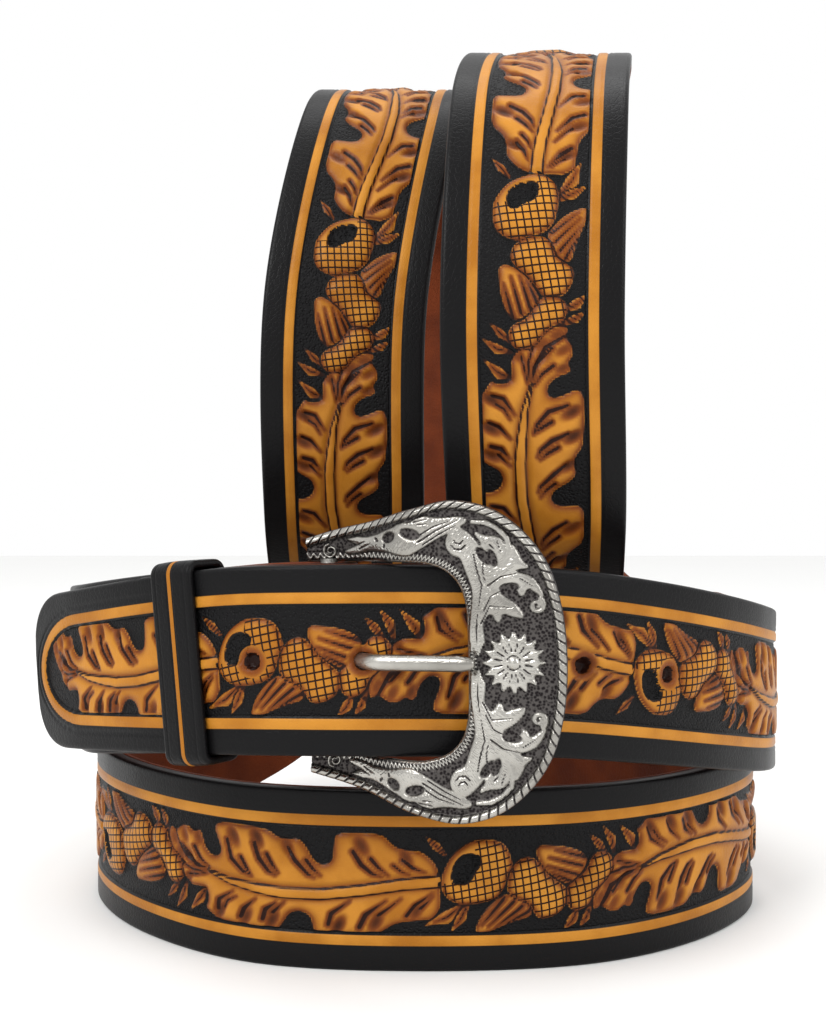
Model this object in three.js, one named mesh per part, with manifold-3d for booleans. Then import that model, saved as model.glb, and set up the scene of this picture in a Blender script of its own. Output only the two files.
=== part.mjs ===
// A western tooled belt, buckled and wound up: two level turns with the buckle in front,
// and two upright turns standing inside them. Millimetres, +Z up, -Y is the front.
import * as THREE from 'three';
import { mergeVertices } from 'three/addons/utils/BufferGeometryUtils.js';
import Module from 'manifold-3d';

const wasm = await Module();
wasm.setup();

// Strap sizes
const strapWidth = 38;
const tipWidth = 34.5;         // the strap narrows a little towards its tip
const tipTaper = 75;           // length of that taper
const tipLength = 14;          // length of the rounded point
const tipBlunt = 0.24;         // share of the width left at the very end
const leather = 2.4;           // tooled outer leather
const liningThick = 1.2;
const glueGap = 0.3;           // between the outer leather and the lining
const layerGap = 0.3;          // between straps that lie on each other
const edgeRound = 0.75;
const marginWidth = 5.4;       // black edge outside the tan line
const lineWidth = 2.2;
const fieldDrop = 0.25;

// How the belt is wound
const ringRadius = 82;         // half the width of the level turns
const coilHeight = 130;        // height of the upright turns
const sectionStep = 14;
const twistStep = 7;           // where the strap turns from level to upright and back

// Buckle, keeper and fastenings
const barRadius = 1.8;
const barClear = 0.3;
const barAlong = 86;           // from the tip to the bar, along the strap
const frameClear = 0.4;        // between the strap's edges and the buckle's arms
const bowClear = 0.35;
const castThick = 3.1;
const armLift = 21;            // length over which the arms rise from the bar to the bow
const prongRadius = 1.6;
const prongHoleAt = 8.4;       // from the bar to the hole in use
const prongReach = 31.5;
const holeSpacing = 22.2;
const holeRadius = 1.9;
const holeCount = 5;
const slotHalf = 3.0;
const keeperAt = 55.5;         // from the tip to the keeper's middle
const keeperWide = 11;
const keeperThick = 1.7;
const keeperClear = 0.75;
const tailLength = 26;         // strap folded back behind the bar
const rivetBack = 14;
const rivetSpread = 9;
const rivetRadius = 1.9;
const rivetHead = 4;
const rivetHeadThick = 1.2;
const rivetClear = 0.3;

// Worked out from the sizes above
const outerFace = glueGap / 2 + leather;
const innerFace = glueGap / 2 + liningThick;
const layerPitch = outerFace + innerFace + layerGap;
const foldRadius = barRadius + barClear + innerFace;
const barDepth = layerPitch + foldRadius;
const openHalf = strapWidth / 2 + frameClear;

// Where the middle of the strap runs, from the tip. x and y are in ring radii, xs is added in strap
// widths; z is in strap widths and zc is added in coil heights. The upper edge leans by so many
// degrees from upright, towards +X turned by so many degrees to the back.
const columns = ['x', 'xs', 'y', 'z', 'zc', 'lean', 'turn'];
const frontRows = [
  [-1.035, 0, 0.620, 1.53, 0, 0, 0],
  [-0.870, 0, 0.420, 1.60, 0, 0, 0],
  [-0.650, 0, 0.215, 1.68, 0, 0, 0],
  [-0.420, 0, 0.070, 1.74, 0, 0, 0],
  [-0.190, 0, 0.005, 1.76, 0, 0, 0],
  [0.100, 0, 0.000, 1.76, 0, 0, 0],
  [0.350, 0, 0.065, 1.73, 0, 0, 0],
  [0.600, 0, 0.210, 1.64, 0, 0, 0],
  [0.830, 0, 0.425, 1.52, 0, 0, 0],
  [1.000, 0, 0.700, 1.40, 0, 0, 0],
  [1.070, 0, 1.060, 1.32, 0, 0, 0],
];
const windRows = [
  [1.020, 0, 1.390, 1.35, 0, 10, 20],
  [0.870, 0, 1.680, 1.44, 0, 36, 30],
  [0.690, 0, 1.930, 1.58, 0, 66, 34],
  [0.530, 0, 2.090, 2.05, 0, 84, 28],
  [0.470, 0, 2.090, 2.85, 0, 90, 12],
  [0, 1.000, 1.880, 1.90, 0.560, 90, 0],
  [0, 0.970, 1.480, 1.90, 0.880, 90, 0],
  [0, 0.900, 0.930, 1.90, 1.000, 90, 0],
  [0, 0.720, 0.370, 1.90, 0.860, 90, 0],
  [0, 0.645, 0.171, 1.90, 0.500, 90, 0],
  [0, 0.700, 0.330, 1.90, 0.140, 90, 0],
  [0, 0.760, 0.780, 1.90, 0.000, 90, 0],
  [0, 0.660, 1.300, 1.90, 0.080, 90, 0],
  [0, 0.100, 1.720, 1.90, 0.330, 90, 0],
  [0, -0.120, 1.800, 1.90, 0.700, 90, 0],
  [0, -0.080, 1.450, 1.90, 0.970, 90, 0],
  [0, -0.180, 0.960, 1.90, 0.930, 90, 0],
  [0, -0.410, 0.690, 1.90, 0.560, 90, 0],
  [0, -0.430, 0.760, 1.90, 0.180, 90, 0],
  [0, -0.430, 1.130, 1.90, 0.000, 90, 0],
  [0, -0.420, 1.480, 1.80, 0, 76, 8],
  [-0.200, 0, 1.780, 1.56, 0, 52, 28],
  [-0.350, 0, 1.960, 1.22, 0, 28, 58],
  [-0.570, 0, 1.990, 0.84, 0, 9, 90],
  [-0.780, 0, 1.830, 0.58, 0, 0, 0],
  [-0.910, 0, 1.560, 0.50, 0, 0, 0],
  [-0.943, 0, 1.230, 0.50, 0, 0, 0],
  [-0.905, 0, 0.860, 0.50, 0, 0, 0],
  [-0.720, 0, 0.520, 0.50, 0, 0, 0],
  [-0.410, 0, 0.265, 0.50, 0, 0, 0],
  [0.020, 0, 0.195, 0.50, 0, 0, 0],
  [0.470, 0, 0.260, 0.50, 0, 0, 0],
  [0.790, 0, 0.490, 0.50, 0, 0, 0],
  [0.975, 0, 0.830, 0.50, 0, 0, 0],
  [0.920, 0, 1.220, 0.50, 0, 0, 0],
  [0.740, 0, 1.620, 0.50, 0, 0, 0],
  [0.500, 0, 1.990, 0.50, 0, 0, 0],
  [0.200, 0, 2.280, 0.60, 0, 0, 0],
  [-0.200, 0, 2.440, 0.88, 0, 0, 0],
  [-0.640, 0, 2.300, 1.18, 0, 0, 0],
  [-0.930, 0, 1.950, 1.38, 0, 0, 0],
  [-1.020, 0, 1.500, 1.43, 0, 0, 0],
  [-1.015, 0, 1.100, 1.48, 0, 0, 0],
];

// The buckle's cast frame from an arm's end to the middle of the bow: outer and inner edge, from the
// bar, as shares of the frame's length and of its half height.
const frameLength = 49;
const frameHalf = 31.4;
const frameColumns = ['outerX', 'outerZ', 'innerX', 'innerZ'];
const frameRows = [
  [-0.092, 0.726, -0.092, 0.618],
  [0.041, 0.803, 0.061, 0.618],
  [0.204, 0.873, 0.204, 0.618],
  [0.388, 0.949, 0.337, 0.618],
  [0.561, 1.000, 0.439, 0.611],
  [0.724, 0.936, 0.520, 0.567],
  [0.849, 0.783, 0.576, 0.478],
  [0.935, 0.586, 0.602, 0.350],
  [0.984, 0.318, 0.608, 0.178],
  [1.000, 0.000, 0.608, 0.000],
];
// Height of the casting from its inner edge to its outer one, as shares of its thickness.
const crownColumns = ['across', 'height'];
const crownRows = [
  [0.00, 0.42],
  [0.07, 0.74],
  [0.30, 0.80],
  [0.60, 0.84],
  [0.83, 0.70],
  [0.90, 0.98],
  [1.00, 0.46],
];
const ropePitch = 3.6;
const ropeNotch = 0.16;        // share of the casting's thickness

// Scrolls on the upper half of the buckle: place as shares of the frame, radius in millimetres, and
// where the curl starts and how far it turns, in degrees.
const scrollColumns = ['x', 'z', 'radius', 'start', 'turn'];
const scrollRows = [
  [-0.010, 0.690, 2.2, 200, -400],
  [0.250, 0.750, 2.4, 20, 380],
  [0.455, 0.800, 3.2, 190, -400],
  [0.640, 0.780, 4.2, 150, -430],
  [0.800, 0.560, 3.4, 100, 400],
  [0.890, 0.370, 2.4, 60, -380],
];
const scrollWire = 0.55;
const flowerRadius = 5.4;
const flowerPetals = 14;
const flowerRise = 0.8;
const flowerAt = 0.800;

function rowsOf(table, names) {
  return table.map((row) => Object.fromEntries(names.map((name, i) => [name, row[i]])));
}

function stationOf(row) {
  const place = new THREE.Vector3(
    row.x * ringRadius + row.xs * strapWidth,
    row.y * ringRadius,
    row.z * strapWidth + row.zc * coilHeight,
  );
  const lean = THREE.MathUtils.degToRad(row.lean);
  const turn = THREE.MathUtils.degToRad(row.turn);
  const aside = new THREE.Vector3(Math.cos(turn), Math.sin(turn), 0);
  const up = new THREE.Vector3(0, 0, Math.cos(lean)).addScaledVector(aside, Math.sin(lean));
  return { place, up };
}

// A smooth line through stations, measured along its length, with the strap's own axes: along,
// out (the tooled face) and up (the upper edge).
class Route {
  constructor(stations) {
    this.stations = stations;
    this.curve = new THREE.CatmullRomCurve3(stations.map((s) => s.place), false, 'centripetal');
    const count = stations.length * 40;
    this.marks = [{ t: 0, s: 0 }];
    let last = this.curve.getPoint(0);
    for (let i = 1; i <= count; i += 1) {
      const point = this.curve.getPoint(i / count);
      const s = this.marks[i - 1].s + point.distanceTo(last);
      this.marks.push({ t: i / count, s });
      last = point;
    }
    this.length = this.marks[count].s;
  }

  // No part of the strap goes below the surface that its lower edge stands on.
  placeAt(t) {
    const point = this.curve.getPoint(THREE.MathUtils.clamp(t, 0, 1));
    point.z = Math.max(point.z, strapWidth / 2);
    return point;
  }

  lengthAt(station) {
    const t = station / (this.stations.length - 1);
    return this.marks[Math.round(t * (this.marks.length - 1))].s;
  }

  shareAt(s) {
    const clamped = THREE.MathUtils.clamp(s, 0, this.length);
    let low = 0;
    let high = this.marks.length - 1;
    while (high - low > 1) {
      const middle = (low + high) >> 1;
      if (this.marks[middle].s > clamped) high = middle;
      else low = middle;
    }
    const a = this.marks[low];
    const b = this.marks[high];
    return a.t + ((b.t - a.t) * (clamped - a.s)) / (b.s - a.s);
  }

  axesAt(s) {
    const t = this.shareAt(s);
    const place = this.placeAt(t);
    const along = this.placeAt(t + 1e-4).sub(this.placeAt(t - 1e-4)).normalize();
    const spot = t * (this.stations.length - 1);
    const first = Math.min(Math.floor(spot), this.stations.length - 2);
    const blend = THREE.MathUtils.smoothstep(spot - first, 0, 1);
    const up = this.stations[first].up.clone().lerp(this.stations[first + 1].up, blend);
    up.addScaledVector(along, -up.dot(along)).normalize();
    const out = along.clone().cross(up);
    return { place, along, up, out };
  }

  // A point from a place on the route: forward, across the width and outwards.
  pointAt(s, across, outwards, forward = 0) {
    const a = this.axesAt(s);
    return a.place.addScaledVector(a.up, across).addScaledVector(a.out, outwards)
      .addScaledVector(a.along, forward);
  }
}

// Where the strap lies under the tip, as shares of the way to the bar, with how far it stands off
// there in millimetres, and how many stations its fold round the bar has.
const lieColumns = ['share', 'off'];
const lieRows = [
  [0.14, 1.5],
  [0.32, 0.4],
  [0.50, 0],
  [0.68, 0],
  [0.84, 0],
];
const foldTurns = 8;

// The fold, laid out from the tip's own route so that every layer keeps its distance.
function foldStations(tipRoute) {
  const stations = [];
  const add = (s, depth, forward = 0) => {
    const place = tipRoute.pointAt(s, 0, -depth, forward);
    stations.push({ place, up: tipRoute.axesAt(s).up });
  };
  rowsOf(lieRows, lieColumns).forEach((row) => add(barAlong * row.share, layerPitch + row.off));
  for (let i = 0; i <= foldTurns; i += 1) {
    const angle = (Math.PI * i) / foldTurns;
    add(barAlong, barDepth - foldRadius * Math.cos(angle), foldRadius * Math.sin(angle));
  }
  const tailShares = [0.3, 0.65, 1];
  tailShares.forEach((share) => add(barAlong - tailLength * share, barDepth + foldRadius));
  return stations;
}

const frontStations = rowsOf(frontRows, columns).map(stationOf);
const windStations = rowsOf(windRows, columns).map(stationOf);
const tipRoute = new Route(frontStations);
const route = new Route([...frontStations, ...windStations, ...foldStations(tipRoute)]);
const foldStation = frontStations.length + windStations.length + lieRows.length;
const foldStart = route.lengthAt(foldStation);
const foldEnd = route.lengthAt(foldStation + foldTurns);

function halfWidthAt(s) {
  const full = THREE.MathUtils.lerp(tipWidth, strapWidth, THREE.MathUtils.smoothstep(s, 0, tipTaper)) / 2;
  if (s >= tipLength) return full;
  const left = 1 - s / tipLength;
  return full * (tipBlunt + (1 - tipBlunt) * (1 - left ** 2.4) ** (1 / 2.4));
}

// Places along the strap where a section is made: close together at the point and round the bar.
function sectionPlaces() {
  const places = [];
  const tipSteps = 7;
  for (let i = 0; i < tipSteps; i += 1) places.push(tipLength * (i / tipSteps) ** 1.6);
  let s = tipLength;
  while (s < foldStart - sectionStep / 2) {
    places.push(s);
    const lean = Math.abs(route.axesAt(s).up.z);
    s += lean > 0.25 && lean < 0.98 ? twistStep : sectionStep;
  }
  const foldSteps = 12;
  for (let i = 0; i < foldSteps; i += 1) {
    places.push(THREE.MathUtils.lerp(foldStart, foldEnd, i / foldSteps));
  }
  const tailSteps = 4;
  for (let i = 0; i <= tailSteps; i += 1) {
    places.push(THREE.MathUtils.lerp(foldEnd, route.length, i / tailSteps));
  }
  return places;
}

function leatherSection(half) {
  const inner = glueGap / 2;
  const share = half / (strapWidth / 2);
  const line = half - marginWidth * share;
  const groove = line - lineWidth * share;
  const right = [
    [half, inner],
    [half, outerFace - edgeRound],
    [half - edgeRound * share, outerFace],
    [line, outerFace],
    [groove, outerFace],
    [groove - 0.6 * share, outerFace - fieldDrop],
  ];
  const left = right.map(([w, n]) => [-w, n]).reverse();
  return [...right, [0, outerFace - fieldDrop], ...left, [0, inner]];
}

// It runs the other way round than the leather's section, so that both split their facing sides into
// triangles alike where the strap twists.
function liningSection(half) {
  return [
    [-half, -innerFace],
    [-half, -glueGap / 2],
    [0, -glueGap / 2],
    [half, -glueGap / 2],
    [half, -innerFace],
    [0, -innerFace],
  ];
}

// A closed body through rings of points, all rings alike in number and order.
function bodyOfRings(rings, closed = false) {
  const size = rings[0].length;
  const points = rings.flat();
  const faces = [];
  const last = closed ? rings.length : rings.length - 1;
  for (let i = 0; i < last; i += 1) {
    const next = ((i + 1) % rings.length) * size;
    for (let k = 0; k < size; k += 1) {
      const m = (k + 1) % size;
      const a = i * size + k;
      const b = i * size + m;
      faces.push([a, next + k, next + m], [a, next + m, b]);
    }
  }
  if (!closed) {
    const cap = flatOrder(rings[0]);
    const end = points.length - size;
    cap.forEach(([a, b, c]) => {
      faces.push([a, b, c]);
      faces.push([end + c, end + b, end + a]);
    });
  }
  return solidOf(points, faces);
}

// Triangles that fill a flat ring, facing against the way that the rings run.
function flatOrder(ring) {
  const middle = ring.reduce((sum, p) => sum.add(p), new THREE.Vector3()).divideScalar(ring.length);
  const normal = new THREE.Vector3();
  ring.forEach((p, i) => {
    const q = ring[(i + 1) % ring.length];
    normal.add(p.clone().sub(middle).cross(q.clone().sub(middle)));
  });
  normal.normalize();
  const side = ring[1].clone().sub(ring[0]).normalize();
  side.addScaledVector(normal, -side.dot(normal)).normalize();
  const other = normal.clone().cross(side);
  const flat = ring.map((p) => {
    const d = p.clone().sub(middle);
    return new THREE.Vector2(d.dot(side), d.dot(other));
  });
  return THREE.ShapeUtils.triangulateShape(flat, []);
}

function solidOf(points, faces) {
  const mesh = new wasm.Mesh({
    numProp: 3,
    vertProperties: new Float32Array(points.flatMap((p) => [p.x, p.y, p.z])),
    triVerts: new Uint32Array(faces.flat()),
  });
  mesh.merge();
  const solid = new wasm.Manifold(mesh);
  if (solid.volume() > 0) return solid;
  const turned = new wasm.Mesh({
    numProp: 3,
    vertProperties: new Float32Array(points.flatMap((p) => [p.x, p.y, p.z])),
    triVerts: new Uint32Array(faces.map(([a, b, c]) => [a, c, b]).flat()),
  });
  return new wasm.Manifold(turned);
}

function solidOfGeometry(geometry) {
  const bare = geometry.clone();
  bare.deleteAttribute('normal');
  bare.deleteAttribute('uv');
  const merged = mergeVertices(bare, 1e-4);
  const mesh = new wasm.Mesh({
    numProp: 3,
    vertProperties: new Float32Array(merged.attributes.position.array),
    triVerts: new Uint32Array(merged.index.array),
  });
  return new wasm.Manifold(mesh);
}

function geometryOf(solid) {
  const mesh = solid.getMesh();
  const geometry = new THREE.BufferGeometry();
  geometry.setAttribute('position', new THREE.BufferAttribute(new Float32Array(mesh.vertProperties), 3));
  geometry.setIndex(new THREE.BufferAttribute(new Uint32Array(mesh.triVerts), 1));
  geometry.computeVertexNormals();
  return geometry;
}

function strapBody(sectionFor) {
  const rings = sectionPlaces().map((s) => {
    const axes = route.axesAt(s);
    return sectionFor(halfWidthAt(s)).map(([w, n]) => axes.place.clone()
      .addScaledVector(axes.up, w).addScaledVector(axes.out, n));
  });
  return bodyOfRings(rings);
}

// Axes at a place under the tip: X along the strap, Y outwards, Z down across it.
function matrixAt(s) {
  const axes = tipRoute.axesAt(s);
  return new THREE.Matrix4().makeBasis(axes.along, axes.out, axes.up.negate()).setPosition(axes.place);
}

const buckleMatrix = matrixAt(barAlong);

function placed(geometry, matrix) {
  return geometry.clone().applyMatrix4(matrix);
}

// A plain rod between two points given in the buckle's axes.
function rod(from, to, radius, sides) {
  const length = from.distanceTo(to);
  const geometry = new THREE.CylinderGeometry(radius, radius, length, sides);
  const turn = new THREE.Quaternion().setFromUnitVectors(
    new THREE.Vector3(0, 1, 0),
    to.clone().sub(from).normalize(),
  );
  const middle = from.clone().add(to).multiplyScalar(0.5);
  geometry.applyMatrix4(new THREE.Matrix4().compose(middle, turn, new THREE.Vector3(1, 1, 1)));
  return geometry;
}

function frameLift(x) {
  const rise = THREE.MathUtils.smoothstep(x, 0, armLift);
  return THREE.MathUtils.lerp(-barDepth - castThick / 2, outerFace + bowClear, rise);
}

// Both edges of the casting, from the upper arm's end round the bow to the lower arm's end.
function frameEdges() {
  const rows = rowsOf(frameRows, frameColumns);
  const lower = rows.slice(0, -1).reverse().map((row) => ({
    ...row,
    outerZ: -row.outerZ,
    innerZ: -row.innerZ,
  }));
  const all = [...rows, ...lower];
  const line = (x, z) => new THREE.CatmullRomCurve3(all.map((row) => new THREE.Vector3(
    row[x] * frameLength,
    0,
    Math.sign(row[z]) * Math.max(Math.abs(row[z]) * frameHalf, 0),
  )));
  return { outer: line('outerX', 'outerZ'), inner: line('innerX', 'innerZ') };
}

const edges = frameEdges();
const innerStretch = openHalf / (frameRows[0][3] * frameHalf);

// A point of the casting: share round the frame, share across it, and height over its back.
function castPoint(round, across, height) {
  const outer = edges.outer.getPoint(round);
  const inner = edges.inner.getPoint(round);
  inner.z *= innerStretch;
  const point = inner.lerp(outer, across);
  return new THREE.Vector3(point.x, frameLift(point.x) + height, point.z);
}

function castSection(round, notch) {
  const crown = rowsOf(crownRows, crownColumns).map((row) => {
    const lowered = row.across > 0.85 && row.across < 1 ? notch : 0;
    return castPoint(round, row.across, (row.height - lowered) * castThick);
  });
  return [...crown, castPoint(round, 1, 0), castPoint(round, 0, 0)];
}

function flower() {
  const shape = new THREE.Shape();
  for (let i = 0; i < flowerPetals * 2; i += 1) {
    const radius = flowerRadius * (i % 2 ? 0.62 : 1);
    const angle = (Math.PI * i) / flowerPetals;
    const x = radius * Math.cos(angle);
    const z = radius * Math.sin(angle);
    if (i) shape.lineTo(x, z);
    else shape.moveTo(x, z);
  }
  const petals = new THREE.ExtrudeGeometry(shape, { depth: castThick * 0.4 + flowerRise, bevelEnabled: false });
  petals.rotateX(-Math.PI / 2);
  const x = flowerAt * frameLength;
  const base = frameLift(x) + castThick * 0.5;
  petals.translate(x, base, 0);
  const button = new THREE.SphereGeometry(flowerRadius * 0.36, 10, 6);
  button.translate(x, base + castThick * 0.4 + flowerRise * 0.7, 0);
  return solidOfGeometry(petals).add(solidOfGeometry(button));
}

// One curl of raised scrollwork, a wire that winds in towards its middle.
function scroll(row, mirror) {
  const points = [];
  const steps = 7;
  for (let i = 0; i <= steps; i += 1) {
    const share = i / steps;
    const angle = THREE.MathUtils.degToRad(row.start + row.turn * share);
    const radius = row.radius * (1 - 0.72 * share);
    const x = row.x * frameLength + radius * Math.cos(angle);
    const z = row.z * frameHalf + radius * Math.sin(angle);
    points.push(new THREE.Vector3(x, frameLift(x) + castThick * 0.8, mirror * z));
  }
  const path = new THREE.CatmullRomCurve3(points);
  const section = new THREE.Shape();
  const sides = 4;
  for (let i = 0; i < sides; i += 1) {
    const angle = (2 * Math.PI * i) / sides;
    const x = scrollWire * Math.cos(angle);
    const y = scrollWire * Math.sin(angle);
    if (i) section.lineTo(x, y);
    else section.moveTo(x, y);
  }
  const wire = new THREE.ExtrudeGeometry(section, { steps: 8, extrudePath: path, bevelEnabled: false });
  return solidOfGeometry(wire);
}

function buckleFrame() {
  const girth = edges.outer.getLength();
  const half = Math.round(girth / ropePitch);
  const rings = [];
  for (let i = 0; i <= half * 2; i += 1) {
    rings.push(castSection(i / (half * 2), i % 2 ? ropeNotch : 0));
  }
  let solid = bodyOfRings(rings);
  const end = openHalf + castThick * 0.8;
  const bar = rod(
    new THREE.Vector3(0, -barDepth, -end),
    new THREE.Vector3(0, -barDepth, end),
    barRadius,
    14,
  );
  solid = solid.add(solidOfGeometry(bar)).add(flower());
  rowsOf(scrollRows, scrollColumns).forEach((row) => {
    solid = solid.add(scroll(row, 1)).add(scroll(row, -1));
  });
  return solid;
}

function prongPath() {
  const over = outerFace + prongRadius + layerGap;
  const tipLift = frameLift(prongReach) + castThick * 0.8 + prongRadius + layerGap;
  return new THREE.CatmullRomCurve3([
    new THREE.Vector3(foldRadius * 0.5, -barDepth + foldRadius * 0.62, 0),
    new THREE.Vector3(prongHoleAt * 0.62, -innerFace - 0.9, 0),
    new THREE.Vector3(prongHoleAt, outerFace / 2, 0),
    new THREE.Vector3(prongHoleAt + 3.2, over - 0.3, 0),
    new THREE.Vector3(prongHoleAt + 8, over + 0.6, 0),
    new THREE.Vector3(prongReach * 0.8, (over + tipLift) / 2 + 0.4, 0),
    new THREE.Vector3(prongReach, tipLift, 0),
  ]);
}

function prongShank(radius) {
  const path = prongPath();
  const steps = 15;
  const sides = 10;
  const rings = [];
  for (let i = 0; i <= steps; i += 1) {
    const share = i / steps;
    const place = path.getPoint(share);
    const along = path.getTangent(share);
    const across = new THREE.Vector3(0, 0, 1);
    const out = across.clone().cross(along);
    const taper = radius * (share > 0.9 ? 1 - 4.5 * (share - 0.9) : 1);
    const ring = [];
    for (let k = 0; k < sides; k += 1) {
      const angle = (2 * Math.PI * k) / sides;
      ring.push(place.clone().addScaledVector(across, taper * Math.cos(angle))
        .addScaledVector(out, taper * 0.85 * Math.sin(angle)));
    }
    rings.push(ring);
  }
  return bodyOfRings(rings);
}

function prong() {
  const inner = barRadius + barClear / 2;
  const outer = inner + prongRadius;
  const wide = prongRadius * 0.9;
  const profile = [
    new THREE.Vector2(inner, -wide),
    new THREE.Vector2(outer, -wide),
    new THREE.Vector2(outer, wide),
    new THREE.Vector2(inner, wide),
    new THREE.Vector2(inner, -wide),
  ];
  const loop = new THREE.LatheGeometry(profile, 14);
  loop.rotateX(Math.PI / 2);
  loop.translate(0, -barDepth, 0);
  return prongShank(prongRadius).add(solidOfGeometry(loop));
}

function rivetGeometry(side, radius, headRadius, grow) {
  const front = -layerPitch + outerFace - layerGap / 3 + grow;
  const back = -barDepth - foldRadius - outerFace - layerGap;
  const at = (n) => new THREE.Vector3(0, n, side * rivetSpread);
  const post = solidOfGeometry(rod(at(back - rivetHeadThick / 2 - grow), at(front), radius, 12));
  if (!headRadius) return post;
  const head = solidOfGeometry(rod(at(back - rivetHeadThick), at(back), headRadius, 20));
  return post.add(head);
}

const rivetMatrix = matrixAt(barAlong - rivetBack);

function moved(solid, matrix) {
  return solid.transform(matrix.toArray());
}

// What is taken out of both the leather and the lining.
function cuts() {
  const list = [];
  for (let k = 0; k < holeCount; k += 1) {
    if (k === 1) continue;
    const s = barAlong + prongHoleAt + (k - 1) * holeSpacing;
    const depth = innerFace + layerGap / 2;
    const from = tipRoute.pointAt(s, 0, -depth);
    const to = tipRoute.pointAt(s, 0, outerFace + layerGap);
    list.push(solidOfGeometry(rod(from, to, holeRadius, 12)));
  }
  list.push(moved(prongShank(prongRadius + barClear), buckleMatrix));
  const high = -innerFace - layerGap / 2;
  const low = -barDepth - foldRadius - outerFace - 1;
  const slot = new THREE.BoxGeometry(foldRadius * 3 + 4, high - low, slotHalf * 2);
  slot.translate(foldRadius * 0.9, (high + low) / 2, 0);
  list.push(moved(solidOfGeometry(slot), buckleMatrix));
  [1, -1].forEach((side) => {
    list.push(moved(rivetGeometry(side, rivetRadius + rivetClear, 0, layerGap / 2), rivetMatrix));
  });
  return list;
}

function roundedRect(halfX, halfY, radius, path) {
  path.moveTo(halfX - radius, -halfY);
  path.absarc(halfX - radius, -halfY + radius, radius, -Math.PI / 2, 0);
  path.absarc(halfX - radius, halfY - radius, radius, 0, Math.PI / 2);
  path.absarc(-halfX + radius, halfY - radius, radius, Math.PI / 2, Math.PI);
  path.absarc(-halfX + radius, -halfY + radius, radius, Math.PI, Math.PI * 1.5);
  path.closePath();
  return path;
}

// The keeper: a leather loop round the tip and the strap under it.
function keeper() {
  const half = halfWidthAt(barAlong) + keeperClear;
  const front = outerFace + keeperClear;
  const back = layerPitch + innerFace + keeperClear;
  const halfDeep = (front + back) / 2;
  const outline = roundedRect(half + keeperThick, halfDeep + keeperThick, keeperThick * 1.3, new THREE.Shape());
  outline.holes.push(roundedRect(half, halfDeep, 0.5, new THREE.Path()));
  const geometry = new THREE.ExtrudeGeometry(outline, {
    depth: keeperWide - 1.2,
    bevelEnabled: true,
    bevelThickness: 0.6,
    bevelSize: 0.5,
    bevelOffset: -0.5,
    bevelSegments: 1,
    curveSegments: 3,
  });
  geometry.translate(0, (front - back) / 2, -(keeperWide - 1.2) / 2);
  const axes = tipRoute.axesAt(keeperAt);
  const basis = new THREE.Matrix4().makeBasis(axes.up, axes.out, axes.along)
    .setPosition(axes.place);
  return solidOfGeometry(placed(geometry, basis));
}

const finishes = {
  tooledLeather: { color: 0xc88a30, roughness: 0.5, metalness: 0 },
  lining: { color: 0x692b12, roughness: 0.75, metalness: 0 },
  blackLeather: { color: 0x1b1a1c, roughness: 0.45, metalness: 0 },
  silver: { color: 0xb9b4aa, roughness: 0.3, metalness: 1 },
  steel: { color: 0x9a9a98, roughness: 0.4, metalness: 1 },
};

function piece(name, solid, finish) {
  const mesh = new THREE.Mesh(geometryOf(solid), new THREE.MeshStandardMaterial(finishes[finish]));
  mesh.name = name;
  return mesh;
}

function cutBody(body) {
  return cuts().reduce((solid, cut) => solid.subtract(cut), body);
}

const belt = new THREE.Group();
belt.name = 'western_belt';
belt.add(piece('strap', cutBody(strapBody(leatherSection)), 'tooledLeather'));
belt.add(piece('lining', cutBody(strapBody(liningSection)), 'lining'));
belt.add(piece('keeper', keeper(), 'blackLeather'));
belt.add(piece('buckle_frame', moved(buckleFrame(), buckleMatrix), 'silver'));
belt.add(piece('prong', moved(prong(), buckleMatrix), 'silver'));
[['upper', -1], ['lower', 1]].forEach(([place, side]) => {
  const rivet = moved(rivetGeometry(side, rivetRadius, rivetHead, 0), rivetMatrix);
  belt.add(piece(`rivet_${place}`, rivet, 'steel'));
});

// The origin is the bottom centre of the whole belt.
const box = new THREE.Box3().setFromObject(belt);
const middle = box.getCenter(new THREE.Vector3());
belt.position.set(-middle.x, -middle.y, -box.min.z);
belt.updateMatrixWorld(true);

export default belt;
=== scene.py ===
import bpy
import bmesh
import math
import numpy as np
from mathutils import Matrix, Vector


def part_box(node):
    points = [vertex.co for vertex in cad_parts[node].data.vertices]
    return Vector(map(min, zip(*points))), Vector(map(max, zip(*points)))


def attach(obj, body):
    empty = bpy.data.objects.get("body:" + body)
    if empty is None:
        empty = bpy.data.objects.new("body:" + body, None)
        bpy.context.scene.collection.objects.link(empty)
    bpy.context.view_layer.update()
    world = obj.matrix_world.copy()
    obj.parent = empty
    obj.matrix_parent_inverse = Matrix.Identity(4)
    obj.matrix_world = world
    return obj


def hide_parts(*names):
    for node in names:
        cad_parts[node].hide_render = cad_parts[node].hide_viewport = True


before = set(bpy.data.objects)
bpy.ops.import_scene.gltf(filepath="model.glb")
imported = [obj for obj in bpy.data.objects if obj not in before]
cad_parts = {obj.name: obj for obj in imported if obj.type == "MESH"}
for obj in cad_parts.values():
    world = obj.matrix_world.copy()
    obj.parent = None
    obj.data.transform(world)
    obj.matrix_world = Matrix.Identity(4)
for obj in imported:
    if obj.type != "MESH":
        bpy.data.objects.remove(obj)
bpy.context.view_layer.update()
bpy.ops.object.select_all(action="DESELECT")
mm = 0.001

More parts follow.
